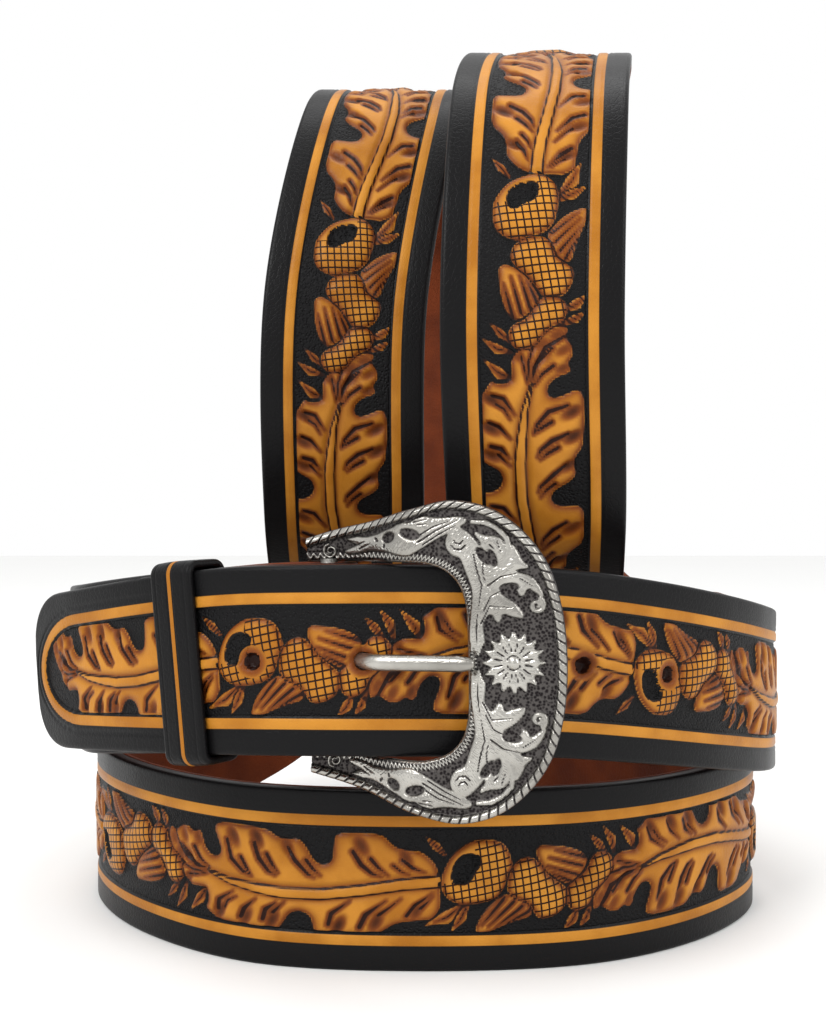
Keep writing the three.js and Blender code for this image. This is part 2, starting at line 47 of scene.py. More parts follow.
# The strap's sizes and its way round, as the solids have them, in millimetres.
strap = {
    "width": 38, "tipWidth": 34.5, "tipTaper": 75, "tipLength": 14, "tipBlunt": 0.24, "tipPower": 2.4,
    "leather": 2.4, "lining": 1.2, "glueGap": 0.3, "layerGap": 0.3,
    "ringRadius": 82, "coilHeight": 130,
    "barRadius": 1.8, "barClear": 0.3, "barAlong": 86, "tailLength": 26,
    "holeSpacing": 22.2, "holeRadius": 1.9, "holeCount": 5, "prongHoleAt": 8.4,
    "holeRim": 3.7, "holeDish": 0.35, "holeDark": 0.55,
    # the tan line, and the grooves and creases beside it
    "margin": 5.4, "line": 2.2, "lineGroove": 0.5, "crease": 1.35, "edgeRound": 0.9,
    "lineTipStart": 2.6, "lineTipLength": 23,
    "grooveDeep": 0.55, "creaseDeep": 0.22, "creaseWide": 0.32, "cutDeep": 0.25, "cutWide": 0.35,
    "sink": 0.55,            # how far the stamped ground lies under the tooling
    "fineStep": 0.5, "plainStep": 1.0, "across": 0.46,
}
nudge = 1e-4                 # share of the way over which directions are taken
outerFace = strap["glueGap"] / 2 + strap["leather"]
innerFace = strap["glueGap"] / 2 + strap["lining"]
layerPitch = outerFace + innerFace + strap["layerGap"]
foldRadius = strap["barRadius"] + strap["barClear"] + innerFace
barDepth = layerPitch + foldRadius

# x and y in ring radii and z in strap widths, for the stretch through the buckle
frontRows = [
    (-1.035, 0.62, 1.53), (-0.87, 0.42, 1.6), (-0.65, 0.215, 1.68), (-0.42, 0.07, 1.74),
    (-0.19, 0.005, 1.76), (0.1, 0.0, 1.76), (0.35, 0.065, 1.73), (0.6, 0.21, 1.64), (0.83, 0.425, 1.52),
    (1.0, 0.7, 1.4), (1.07, 1.06, 1.32),
]
# x in ring radii and in strap widths, y, z, z in coil heights, lean and turn in degrees
climbRows = [
    (1.02, 0, 1.39, 1.35, 0, 10, 20), (0.87, 0, 1.68, 1.44, 0, 36, 30), (0.69, 0, 1.93, 1.58, 0, 66, 34),
    (0.53, 0, 2.09, 2.05, 0, 84, 28), (0.47, 0, 2.09, 2.85, 0, 90, 12),
]
# the two upright turns: x in strap widths, y in ring radii, z in coil heights
coilRows = [
    (1.0, 1.88, 0.56), (0.97, 1.48, 0.88), (0.9, 0.93, 1.0), (0.72, 0.37, 0.86), (0.645, 0.171, 0.5),
    (0.7, 0.33, 0.14), (0.76, 0.78, 0.0), (0.66, 1.3, 0.08), (0.1, 1.72, 0.33), (-0.12, 1.8, 0.7),
    (-0.08, 1.45, 0.97), (-0.18, 0.96, 0.93), (-0.41, 0.69, 0.56), (-0.43, 0.76, 0.18), (-0.43, 1.13, 0.0),
]
uprightFrom = 1.90
dropRows = [
    (0, -0.42, 1.48, 1.8, 0, 76, 8), (-0.2, 0, 1.78, 1.56, 0, 52, 28), (-0.35, 0, 1.96, 1.22, 0, 28, 58),
    (-0.57, 0, 1.99, 0.84, 0, 9, 90),
]
# the level turns on the floor, like the front ones
ringRows = [
    (-0.78, 1.83, 0.58), (-0.91, 1.56, 0.5), (-0.943, 1.23, 0.5), (-0.905, 0.86, 0.5), (-0.72, 0.52, 0.5),
    (-0.41, 0.265, 0.5), (0.02, 0.195, 0.5), (0.47, 0.26, 0.5), (0.79, 0.49, 0.5), (0.975, 0.83, 0.5),
    (0.92, 1.22, 0.5), (0.74, 1.62, 0.5), (0.5, 1.99, 0.5), (0.2, 2.28, 0.6), (-0.2, 2.44, 0.88),
    (-0.64, 2.3, 1.18), (-0.93, 1.95, 1.38), (-1.02, 1.5, 1.43), (-1.015, 1.1, 1.48),
]
# places along the buckle stretch behind its front, and how far further back they lie
lieRows = [(0.14, 1.5), (0.32, 0.4), (0.50, 0), (0.68, 0), (0.84, 0)]
foldTurns = 8
tailShares = (0.3, 0.65, 1)


def station(x, xs, y, z, zc, lean, turn):
    place = (x * strap["ringRadius"] + xs * strap["width"], y * strap["ringRadius"],
             z * strap["width"] + zc * strap["coilHeight"])
    lean, turn = math.radians(lean), math.radians(turn)
    return place, (math.sin(lean) * math.cos(turn), math.sin(lean) * math.sin(turn), math.cos(lean))


def curveThrough(points, t):    # centripetal Catmull-Rom curve, at shares t of the way
    last = len(points) - 1
    ends = np.vstack([2 * points[0] - points[1], points, 2 * points[-1] - points[-2]])
    spot = np.clip(t, 0, 1) * last
    i = np.minimum(spot.astype(int), last - 1)
    w = (spot - i)[:, None]
    a, b, c, d = ends[i], ends[i + 1], ends[i + 2], ends[i + 3]
    d0, d1, d2 = (np.sqrt(np.linalg.norm(r - q, axis=1))[:, None] for q, r in ((a, b), (b, c), (c, d)))
    m1 = ((b - a) / d0 - (c - a) / (d0 + d1) + (c - b) / d1) * d1
    m2 = ((c - b) / d1 - (d - b) / (d1 + d2) + (d - c) / d2) * d1
    return b + m1 * w + (-3 * b + 3 * c - 2 * m1 - m2) * w ** 2 + (2 * b - 2 * c + m1 + m2) * w ** 3


class Route:
    stepsPerStation = 40

    def __init__(self, stations):
        self.points = np.array([s[0] for s in stations], float)
        self.ups = np.array([s[1] for s in stations], float)
        self.count = len(stations)
        self.t = np.linspace(0, 1, self.count * self.stepsPerStation + 1)
        steps = np.linalg.norm(np.diff(curveThrough(self.points, self.t), axis=0), axis=1)
        self.s = np.concatenate([[0], np.cumsum(steps)])
        self.length = self.s[-1]

    def places(self, t):    # never under the surface that the lower edge stands on
        point = curveThrough(self.points, t)
        point[:, 2] = np.maximum(point[:, 2], strap["width"] / 2)
        return point

    def axes(self, s):    # places, and the directions along, up and out of the leather's face
        t = np.interp(s, self.s, self.t)
        along = self.places(t + nudge) - self.places(t - nudge)
        along /= np.linalg.norm(along, axis=1)[:, None]
        spot = t * (self.count - 1)
        i = np.minimum(spot.astype(int), self.count - 2)
        w = np.clip(spot - i, 0, 1)[:, None]
        w = w * w * (3 - 2 * w)
        up = self.ups[i] * (1 - w) + self.ups[i + 1] * w
        up -= along * np.sum(up * along, axis=1)[:, None]
        up /= np.linalg.norm(up, axis=1)[:, None]
        return self.places(t), along, up, np.cross(along, up)

    def axesAt(self, s):
        return [values[0] for values in self.axes(np.array([float(s)]))]

    def lengthAt(self, index):
        return float(np.interp(index / (self.count - 1), self.t, self.s))


def foldStations(tip):
    found = []

    def add(s, depth, forward=0.0):
        place, along, up, out = tip.axesAt(s)
        found.append((tuple(place - out * depth + along * forward), tuple(up)))

    for share, off in lieRows:
        add(strap["barAlong"] * share, layerPitch + off)
    for i in range(foldTurns + 1):
        angle = math.pi * i / foldTurns
        add(strap["barAlong"], barDepth - foldRadius * math.cos(angle), foldRadius * math.sin(angle))
    for share in tailShares:
        add(strap["barAlong"] - strap["tailLength"] * share, barDepth + foldRadius)
    return found


def levelStation(x, y, z):
    return station(x, 0, y, z, 0, 0, 0)


frontStations = [levelStation(*row) for row in frontRows]
windStations = [station(*row) for row in climbRows]
windStations += [station(0, x, y, uprightFrom, z, 90, 0) for x, y, z in coilRows]
windStations += [station(*row) for row in dropRows]
windStations += [levelStation(*row) for row in ringRows]
tipRoute = Route(frontStations)
route = Route(frontStations + windStations + foldStations(tipRoute))
foldStation = len(frontStations) + len(windStations) + len(lieRows)
foldStart = route.lengthAt(foldStation)


def halfWidth(s):
    ease = np.clip(s / strap["tipTaper"], 0, 1)
    full = (strap["tipWidth"] + (strap["width"] - strap["tipWidth"]) * ease * ease * (3 - 2 * ease)) / 2
    left = np.clip(1 - s / strap["tipLength"], 0, 1)
    power = strap["tipPower"]
    return full * (strap["tipBlunt"] + (1 - strap["tipBlunt"]) * (1 - left ** power) ** (1 / power))


def smooth(low, high, x):
    x = np.clip((x - low) / (high - low), 0, 1)
    return x * x * (3 - 2 * x)


def roundLoop(points):    # rounds a closed outline's corners off
    p = np.array(points, float)
    for _ in range(2):
        q = np.roll(p, -1, axis=0)
        p = np.stack([0.75 * p + 0.25 * q, 0.25 * p + 0.75 * q], 1).reshape(-1, 2)
    return p


def inLoop(x, y, loop):    # distance inside a closed outline, negative outside
    best = np.full(x.shape, 1e9)
    inside = np.zeros(x.shape, bool)
    for (ax, ay), (bx, by) in zip(loop, np.roll(loop, -1, axis=0)):
        dx, dy = bx - ax, by - ay
        share = np.clip(((x - ax) * dx + (y - ay) * dy) / max(dx * dx + dy * dy, 1e-9), 0, 1)
        best = np.minimum(best, (x - ax - share * dx) ** 2 + (y - ay - share * dy) ** 2)
        if ay != by:
            inside ^= ((ay > y) != (by > y)) & (x < dx * (y - ay) / dy + ax)
    return np.where(inside, 1, -1) * np.sqrt(best)


def inStroke(x, y, points):    # points are (x, y, half width)
    best = np.full(x.shape, -1e9)
    for (ax, ay, aw), (bx, by, bw) in zip(points, points[1:]):
        dx, dy = bx - ax, by - ay
        share = np.clip(((x - ax) * dx + (y - ay) * dy) / max(dx * dx + dy * dy, 1e-9), 0, 1)
        far = np.sqrt((x - ax - share * dx) ** 2 + (y - ay - share * dy) ** 2)
        best = np.maximum(best, aw + (bw - aw) * share - far)
    return best


def inEllipse(x, y, cx, cy, rx, ry, tilt):
    c, s = math.cos(math.radians(tilt)), math.sin(math.radians(tilt))
    px, py = (x - cx) * c + (y - cy) * s, -(x - cx) * s + (y - cy) * c
    return (1 - np.sqrt((px / rx) ** 2 + (py / ry) ** 2)) * min(rx, ry)


# One repeat of the tooling, in millimetres along and across. The acorn spray starts at 0; the leaf is
# measured back from its foot, which lies under the next spray.
tooling = {
    "repeat": 90, "tipFrom": -30, "tipShare": 0.76,
    "openCap": [(0, -0.2), (2.1, 5.0), (4.8, 7.4), (7.6, 8.8), (10.8, 8.8), (13.6, 7.9), (15.0, 5.2),
                (15.4, 2.5), (14.5, 1.7), (14.1, 0), (13.4, -2.2), (11.3, -4.2), (8.1, -4.9), (3.9, -5.0),
                (1.2, -3.4)],
    "openHole": [(2.5, -0.2), (2.8, 2.9), (4.4, 5.4), (6.7, 6.0), (8.8, 5.2), (8.5, 3.4), (7.1, 1.7),
                 (6.7, 0.2), (4.6, -0.8)],
    "plainRim": [(-2.0, -0.4), (-2.0, 10.0), (7.6, 10.0), (7.2, 5.4), (2.6, -0.2)],
    "caps": [[(15.4, 3.5), (17.3, 4.8), (19.6, 4.8), (21.4, 2.9), (22.4, 1.2), (25.1, -0.8), (27.0, -2.3),
              (27.0, -4.6), (26.0, -6.9), (23.3, -8.4), (20.5, -8.5), (19.4, -6.4), (18.2, -4.7),
              (16.4, -4.1), (13.9, -2.6), (14.2, 0.6)],
             [(26.5, -1.9), (27.9, -0.8), (29.7, 0.3), (31.1, 1.7), (32.0, 4.0), (33.4, 5.1), (35.7, 4.9),
              (37.1, 3.5), (37.3, 1.6), (36.2, -0.8), (33.9, -2.5), (32.5, -4.1), (32.0, -5.9), (30.2, -7.2),
              (27.9, -7.2), (26.5, -5.6)]],
    "nuts": [[(20.5, 7.2), (20.0, 5.2), (21.4, 2.4), (23.3, 0.5), (27.0, -1.7), (27.9, -1.1), (30.2, 0.9),
              (31.3, 3.0), (31.1, 4.3), (29.3, 5.8), (25.6, 6.9), (22.8, 7.1)],
             [(7.2, -11.0), (8.1, -8.2), (9.9, -5.6), (12.7, -3.2), (14.1, -2.8), (16.4, -3.1), (18.2, -4.7),
              (19.4, -6.6), (19.1, -8.0), (15.9, -8.7), (12.7, -9.9), (9.4, -11.3)]],
    "nutCuts": [(30.9, 4.0, 24.2, 6.1), (29.9, 2.4, 22.8, 4.6), (28.8, 0.6, 22.4, 2.8),
                (27.4, -0.7, 23.6, 1.2), (13.4, -3.8, 8.8, -9.2), (15.4, -4.4, 10.2, -9.4),
                (17.2, -5.4, 11.8, -9.6), (18.6, -6.6, 14.0, -9.0)],
    "leaflets": [[(5.0, -5.0, 0.5), (1.6, -7.6, 1.5), (-3.2, -9.4, 0.1)],
                 [(6.0, -4.8, 0.5), (4.6, -7.8, 1.2), (2.4, -11.0, 0.1)],
                 [(1.4, 5.4, 0.4), (-0.6, 7.4, 1.0), (-2.8, 9.4, 0.1)],
                 [(35.6, 4.4, 0.4), (33.8, 6.6, 1.0), (31.6, 9.0, 0.1)],
                 [(37.6, 4.4, 0.4), (36.8, 7.4, 1.1), (34.6, 10.6, 0.1)],
                 [(42.6, 4.8, 0.4), (41.6, 7.0, 1.3), (38.6, 10.4, 0.1)],
                 [(29.2, -6.6, 0.4), (28.0, -9.0, 1.2), (25.8, -11.4, 0.1)],
                 [(32.0, -6.2, 0.4), (31.0, -8.8, 1.0), (29.4, -11.0, 0.1)]],
    "leaf": [(0, -2.8), (-1.6, -5.0), (-3.6, -6.5), (-6.9, -6.5), (-8.9, -7.8), (-10.5, -9.9),
             (-16.2, -10.2), (-19.7, -9.8), (-19.9, -7.5), (-20.1, -4.4), (-21.1, -3.3), (-22.7, -3.3),
             (-23.9, -4.5), (-25.1, -7.0), (-26.8, -8.7), (-29.0, -8.0), (-31.2, -8.6), (-33.3, -10.0),
             (-38.9, -10.4), (-44.2, -10.6), (-48.4, -10.2), (-49.4, -8.9), (-48.2, -6.8), (-47.0, -4.2),
             (-48.2, -2.9), (-50.4, -3.0), (-52.7, -4.9), (-53.8, -8.1), (-56.6, -7.2), (-58.3, -8.4),
             (-61.2, -8.2), (-63.4, -6.7), (-65.9, -7.6), (-66.5, -5.5), (-65.7, -3.9), (-63.6, -0.6),
             (-61.3, 0.9), (-60.0, 3.3), (-56.6, 4.8), (-53.2, 4.3), (-51.6, 5.3), (-51.3, 6.9),
             (-52.4, 8.8), (-50.4, 9.7), (-48.4, 10.9), (-43.0, 11.2), (-38.9, 11.4), (-34.9, 11.7),
             (-31.2, 11.5), (-29.6, 9.7), (-28.4, 7.6), (-26.8, 6.9), (-25.2, 7.3), (-24.1, 8.6),
             (-23.9, 11.0), (-22.7, 11.8), (-18.7, 11.8), (-14.6, 11.7), (-11.8, 11.6), (-9.7, 10.0),
             (-7.7, 8.8), (-3.2, 8.3), (-1.2, 8.2), (0.6, 5.6), (0.4, 2.0)],
    "midrib": [(-51.0, 0.4, 0.25), (-44.2, 1.9, 0.6), (-36.5, 2.7, 0.95), (-30.0, 3.2, 1.1),
               (-22.7, 3.1, 1.1), (-14.6, 2.0, 1.1), (-6.5, 0.6, 1.15), (-0.5, 0.1, 1.2), (2.5, 0.0, 1.2)],
    # thumbprints: place, radius, strength
    "prints": [(-43.2, -7.9, 1.7, 1), (-36.5, -8.1, 1.7, 1), (-28.8, -6.9, 1.6, 1), (-14.6, -7.5, 1.8, 1),
               (-6.2, -5.0, 1.5, 1), (-59.8, -6.4, 1.4, 0.8), (-54.9, -6.2, 1.2, 0.9),
               (-64.0, -5.0, 1.2, 0.8), (-47.4, 8.8, 1.6, 1), (-39.6, 9.1, 1.6, 1), (-32.4, 9.2, 1.7, 1),
               (-19.0, 9.6, 1.6, 1), (-11.8, 8.6, 1.7, 1), (-4.2, 6.4, 1.4, 1), (-61.5, -1.6, 1.8, 0.8),
               (-58.2, 3.0, 1.3, 0.8), (-52.8, 5.6, 1.0, 0.9), (-57.5, -2.4, 1.5, 0.6)],
    # cuts that run from a thumbprint towards the midrib
    "slashes": [
        [(-45.0, -7.0, 0.30), (-43.6, -3.0, 0.42), (-40.2, -0.5, 0.3), (-37.7, 0.3, 0.02)],
        [(-40.8, -3.6, 0.34), (-39.2, -1.4, 0.3), (-37.7, 0.2, 0.02)],
        [(-37.3, -7.0, 0.30), (-35.7, -3.6, 0.42), (-33.3, -1.2, 0.3), (-31.4, -0.4, 0.02)],
        [(-33.7, -4.8, 0.34), (-32.2, -2.6, 0.3), (-30.6, -1.0, 0.02)],
        [(-28.8, -6.3, 0.30), (-27.2, -3.8, 0.42), (-24.7, -1.0, 0.3), (-23.5, -0.4, 0.02)],
        [(-25.1, -4.0, 0.34), (-23.8, -2.2, 0.3), (-22.3, -0.9, 0.02)],
        [(-16.2, -6.2, 0.35), (-14.6, -3.4, 0.42), (-12.6, -1.6, 0.3), (-10.8, -0.9, 0.02)],
        [(-12.8, -4.7, 0.36), (-11.4, -2.9, 0.3), (-9.5, -1.2, 0.02)],
        [(-6.9, -4.4, 0.30), (-4.9, -2.8, 0.35), (-2.6, -1.9, 0.02)],
        [(-8.6, -3.4, 0.25), (-7.0, -2.0, 0.2), (-5.6, -1.4, 0.02)],
        [(-48.3, 8.6, 0.35), (-47.6, 6.3, 0.34), (-43.1, 4.0, 0.02)],
        [(-46.2, 8.0, 0.25), (-44.8, 6.2, 0.2), (-42.0, 5.0, 0.02)],
        [(-41.2, 9.4, 0.35), (-40.1, 7.4, 0.38), (-36.7, 5.0, 0.02)],
        [(-34.9, 9.2, 0.4), (-34.1, 7.0, 0.42), (-31.4, 5.4, 0.02)],
        [(-32.4, 7.7, 0.34), (-29.4, 5.2, 0.02)],
        [(-20.9, 9.4, 0.35), (-20.3, 7.0, 0.38), (-16.8, 4.3, 0.02)],
        [(-15.0, 9.8, 0.4), (-13.8, 7.1, 0.42), (-9.9, 4.0, 0.02)],
        [(-11.4, 7.3, 0.34), (-7.1, 3.6, 0.02)],
        [(-6.1, 7.3, 0.34), (-4.5, 5.1, 0.36), (-1.2, 2.5, 0.02)],
        [(-3.5, 5.9, 0.3), (-1.0, 3.0, 0.02)],
        [(-63.6, -6.6, 0.3), (-60.6, -2.6, 0.42), (-55.5, -0.3, 0.36), (-51.5, 0.4, 0.05)],
        [(-60.4, -4.0, 0.25), (-56.5, -0.9, 0.3), (-52.0, 0.2, 0.05)],
        [(-55.8, -4.2, 0.36), (-53.6, -1.8, 0.3), (-50.6, -0.2, 0.05)],
        [(-61.2, -0.2, 0.2), (-56.6, 1.0, 0.28), (-51.5, 0.7, 0.05)],
        [(-58.6, 2.4, 0.2), (-55.0, 1.8, 0.2), (-51.4, 1.2, 0.05)],
    ],
}


def leafPlace(x):    # the curled tip is drawn closer together than the rest
    far = np.minimum(np.asarray(x, float) - tooling["tipFrom"], 0)
    return tooling["repeat"] + np.maximum(x, tooling["tipFrom"]) + far * tooling["tipShare"]


def onLeaf(rows):
    return [(float(leafPlace(row[0])), *row[1:]) for row in rows]


# What the masks say where nothing is tooled. All but dark are distances inside, in millimetres.
plainMasks = {"tan": -9.0, "dark": 0.0, "cut": -1.0, "hatch": -9.0}
# How each form is laid down: its rise, its dome, how dark its edge is burnt and how far in that reaches.
forms = {
    "leaflet": (0, 0.1, 0.6, 0.6), "leaf": (0.05, 0.25, 0.78, 1.2), "nut": (0.15, 0.45, 0.72, 1.1),
    "cap": (0.15, 0.6, 0.8, 1.0), "openCap": (0.2, 0.5, 0.8, 1.0),
}
# Depths and widths of the carving in millimetres; dark values are shares of the full antique.
carving = {
    "shoulder": 0.35, "shoulderWide": 0.9, "domeWide": 3.0, "outline": 0.2,
    "slashDeep": {"leaflet": 0.35, "leaf": 0.45, "nut": 0.3}, "slashDark": 0.62, "slashSoft": 1.1,
    "printDeep": 0.75, "printDark": 0.78, "printSoft": 1.2, "printLean": 0.35, "printShape": (1.15, 0.66),
    "ribRise": 0.28, "ribDeep": 0.45, "ribCut": 0.24, "ribDark": 0.62,
    "hatchInset": 0.15, "hollowDeep": 1.1, "hollowCut": 0.22,
}


def untooled(shape):
    masks = {key: np.full(shape, value) for key, value in plainMasks.items()}
    return {"height": np.full(shape, -strap["sink"]), **masks}


# Relief and shading masks of one repeat, at u along and v across.
def toolUnit(u, v, leafOnly):
    state = untooled(u.shape)

    def lay(inside, form):
        rise, dome, burn, soft = forms[form]
        over = smooth(-0.1, 0.25, inside)
        level = rise - carving["shoulder"] * (1 - smooth(0, carving["shoulderWide"], inside))
        level += dome * smooth(0, carving["domeWide"], inside)
        state["height"] = state["height"] * (1 - over) + level * over
        state["dark"] = state["dark"] * (1 - over) + burn * np.exp(-np.maximum(inside, 0) / soft) * over
        state["cut"] = np.where(inside > carving["outline"], -1, state["cut"])
        state["cut"] = np.maximum(state["cut"], carving["outline"] - np.abs(inside))
        state["hatch"] = np.where(inside > 0, plainMasks["hatch"], state["hatch"])
        state["tan"] = np.maximum(state["tan"], inside)

    def slash(points, form):
        inside = np.minimum(inStroke(u, v, points), state["tan"] + 0.2)
        state["cut"] = np.maximum(state["cut"], np.maximum(inside, -1))
        state["height"] -= smooth(-0.35, 0.15, inside) * carving["slashDeep"][form]
        burnt = carving["slashDark"] * smooth(-carving["slashSoft"], 0.0, inside)
        state["dark"] = np.maximum(state["dark"], burnt)

    for points in () if leafOnly else tooling["leaflets"]:
        lay(inStroke(u, v, points), "leaflet")
        (ax, ay, _), (mx, my, _), (bx, by, _) = points
        slash([(ax, ay, 0.12), (mx, my, 0.18), ((mx + bx) / 2, (my + by) / 2, 0.05)], "leaflet")
    lay(inLoop(u, v, roundLoop(onLeaf(tooling["leaf"]))), "leaf")
    near = state["tan"].copy()
    for px, py, radius, strength in tooling["prints"]:
        lean = carving["printLean"] * np.sign(py) * (v - py)
        wide, tall = carving["printShape"]
        inside = radius - np.hypot((u - float(leafPlace(px)) + lean) * wide, (v - py) * tall)
        pit = smooth(-0.7, radius * 0.75, inside) * smooth(-0.2, 0.4, near)
        state["height"] -= carving["printDeep"] * strength * pit
        burnt = carving["printDark"] * strength * smooth(-carving["printSoft"], radius * 0.9, inside)
        state["dark"] = np.maximum(state["dark"], burnt)
    for points in tooling["slashes"]:
        slash(onLeaf(points), "leaf")
    rib = inStroke(u, v, onLeaf(tooling["midrib"]))
    groove = carving["ribDeep"] * smooth(1.2, 0.0, np.abs(rib + 0.35))
    state["height"] += (carving["ribRise"] * smooth(-0.05, 0.2, rib) - groove) * (near > 0)
    state["cut"] = np.where(rib > 0.2, -1, state["cut"])
    state["cut"] = np.maximum(state["cut"], np.minimum(carving["ribCut"] - np.abs(rib), near))
    state["dark"] = np.where(rib > 0.1, 0.2 * np.exp(-rib / 0.3), state["dark"])
    beside = carving["ribDark"] * np.exp(np.minimum(rib, 0) / 0.9) * (rib < 0.1)
    state["dark"] = np.maximum(state["dark"], beside)
    if leafOnly:
        return state
    for points in tooling["nuts"]:
        lay(inLoop(u, v, roundLoop(points)), "nut")
    for x0, y0, x1, y1 in tooling["nutCuts"]:
        slash([(x0, y0, 0.3), ((x0 + x1) / 2, (y0 + y1) / 2, 0.24), (x1, y1, 0.02)], "nut")
    for points in tooling["caps"]:
        inside = inLoop(u, v, roundLoop(points))
        lay(inside, "cap")
        state["hatch"] = np.maximum(state["hatch"], inside - carving["hatchInset"])
    cap = inLoop(u, v, roundLoop(tooling["openCap"]))
    hollow = inLoop(u, v, roundLoop(tooling["openHole"]))
    rim = inLoop(u, v, np.array(tooling["plainRim"], float))
    lay(cap, "openCap")
    state["hatch"] = np.maximum(state["hatch"], np.minimum(cap - carving["hatchInset"], -rim))
    state["cut"] = np.maximum(state["cut"], carving["hollowCut"] - np.abs(hollow))
    state["height"] -= carving["hollowDeep"] * smooth(-0.4, 0.7, hollow)
    state["tan"] = np.where(hollow > -0.3, np.minimum(state["tan"], -hollow), state["tan"])
    return state


# Where repeats start along the strap, and whether they are mirrored across it.
toolAnchors = [(-22, True), (64, False), (151, True), (504, False), (594, True), (684, False), (897, False),
               (987, True), (1077, False), (1312, True), (1410, False), (1500, True), (2000, True)]


def seatUnits(anchors):    # between two anchors the repeats are stretched evenly and mirrored by turns
    units = []
    for (a, aFlip), (b, bFlip) in zip(anchors, anchors[1:]):
        count = max(1, round((b - a) / tooling["repeat"]))
        for i in range(count):
            units.append((a + (b - a) * i / count, (b - a) / count, aFlip if i % 2 == 0 else not aFlip))
    return units


units = seatUnits(toolAnchors)
holePlaces = [strap["barAlong"] + strap["prongHoleAt"] + (k - 1) * strap["holeSpacing"]
              for k in range(strap["holeCount"])]


def tipLoop(reach, side):
    return np.vstack([np.stack([reach, side], 1), np.stack([reach, -side], 1)[::-1]])


def edgeDistance(s, w):    # how far inside the leather's own edge
    inner = halfWidth(s) - np.abs(w)
    near = s < 45
    if near.any():
        reach = np.concatenate([np.linspace(0, 16, 40), [30, 60, 120]])
        inner[near] = np.abs(inLoop(s[near], w[near], tipLoop(reach, halfWidth(reach))))
    return inner


def lineDistance(s, w, edge):    # the tan line comes to a rounder point than the leather's own edge
    near = s < 60
    if not near.any():
        return edge
    start = strap["lineTipStart"]
    reach = np.concatenate([np.linspace(-start, 0, 12), np.linspace(1, 30, 30), [50, 80, 160]])
    left = np.clip(1 - (reach + start) / strap["lineTipLength"], 0, 1)
    side = halfWidth(np.maximum(reach, strap["tipLength"])) * np.sqrt(1 - left ** 2)
    found = edge.copy()
    found[near] = inLoop(s[near], w[near], tipLoop(reach, side))
    return found


# Height over the leather's face, and the shading masks, at places along and across the strap.
def toolStrap(s, w):
    skin = edgeDistance(s, w)
    edge = lineDistance(s, w, skin)
    line = strap["margin"] + strap["line"]
    ground = line + strap["lineGroove"]
    found = untooled(s.shape)
    for start, length, flip in units:
        pick = (edge > line - 0.5) & (s >= start - 4) & (s < start + length + 3)
        if not pick.any():
            continue
        u = (s[pick] - start) * tooling["repeat"] / length
        unit = toolUnit(u, w[pick] * (-1 if flip else 1), start < 0)
        old = found["tan"][pick]
        # the spray lies over the foot of the leaf before it
        take = ((u >= -0.2) & (unit["tan"] > -0.4)) | ((unit["tan"] > old) & (old < 0.1))
        take |= (old < -8) & (unit["tan"] > -8.9)
        for name, values in unit.items():
            found[name][pick] = np.where(take, values, found[name][pick])
    groove = smooth(line - 0.1, line + 0.15, edge) * smooth(ground + 0.25, ground - 0.05, edge)
    crease = smooth(strap["creaseWide"], 0.0, np.abs(edge - strap["margin"] + strap["crease"]))
    height = smooth(ground - 0.25, ground + 0.15, edge) * found["height"]
    height -= strap["grooveDeep"] * groove + strap["creaseDeep"] * crease
    height -= strap["cutDeep"] * smooth(strap["cutWide"], 0.0, np.abs(edge - strap["margin"]))
    rounding = strap["edgeRound"]
    drop = np.clip(rounding - skin, 0, rounding)
    height -= rounding - np.sqrt(np.maximum(rounding ** 2 - drop ** 2, 0))
    clip = smooth(ground - 0.05, ground + 0.35, edge)
    tan = np.where(edge > ground - 0.1, found["tan"], plainMasks["tan"])
    dark = found["dark"] * clip
    cut = np.where(clip > 0.5, found["cut"], plainMasks["cut"])
    hatch = np.where(edge > ground, found["hatch"], plainMasks["hatch"])
    radius, rim = strap["holeRadius"], strap["holeRim"]
    for place in holePlaces:    # punched through, with the leather worn brown and dished round them, and painted near-black inside as painted shade
        far = np.hypot(s - place, w)
        worn = smooth(rim + 0.4, radius + 0.3, far)
        height -= strap["holeDish"] * worn + strap["leather"] * 0.8 * smooth(radius, radius - 0.5, far)
        tan = np.maximum(tan, rim - 0.5 - far)
        dark = np.maximum(dark * (1 - 0.6 * worn), strap["holeDark"] * worn)
        # inside each hole the cut mask paints near-black: painted shade of the hole's depth
        cut = np.maximum(np.where(worn > 0.5, -1, cut), radius - 0.1 - far)
        hatch = np.minimum(hatch, far - rim + 0.4)
    return {"height": height, "edge": edge, "tan": tan, "dark": dark, "cut": cut, "hatch": hatch}


# A closed mesh through rings of points in millimetres, with a float attribute for each of values.
def bodyFromRings(name, rings, values=None, closed=False):
    count, size = rings.shape[:2]
    points = (rings.reshape(-1, 3) + shift) * mm
    i = np.arange(count if closed else count - 1)[:, None]
    j = (i + 1) % count * size
    i = i * size
    k = np.arange(size)[None, :]
    m = (k + 1) % size
    faces = np.stack([i + k, i + m, j + m, j + k], -1).reshape(-1, 4).tolist()
    if not closed:
        faces.append(list(range(size))[::-1])
        faces.append([(count - 1) * size + j for j in range(size)])
    mesh = bpy.data.meshes.new(name)
    mesh.from_pydata(points.tolist(), [], faces)
    work = bmesh.new()
    work.from_mesh(mesh)
    if work.calc_volume(signed=True) < 0:
        bmesh.ops.reverse_faces(work, faces=work.faces[:])
    work.to_mesh(mesh)
    work.free()
    for key, array in (values or {}).items():
        layer = mesh.attributes.new(key, "FLOAT", "POINT")
        layer.data.foreach_set("value", np.ascontiguousarray(array.reshape(-1), dtype=np.float32))
    body = bpy.data.objects.new(name, mesh)
    bpy.context.scene.collection.objects.link(body)
    mesh.shade_smooth()
    return body


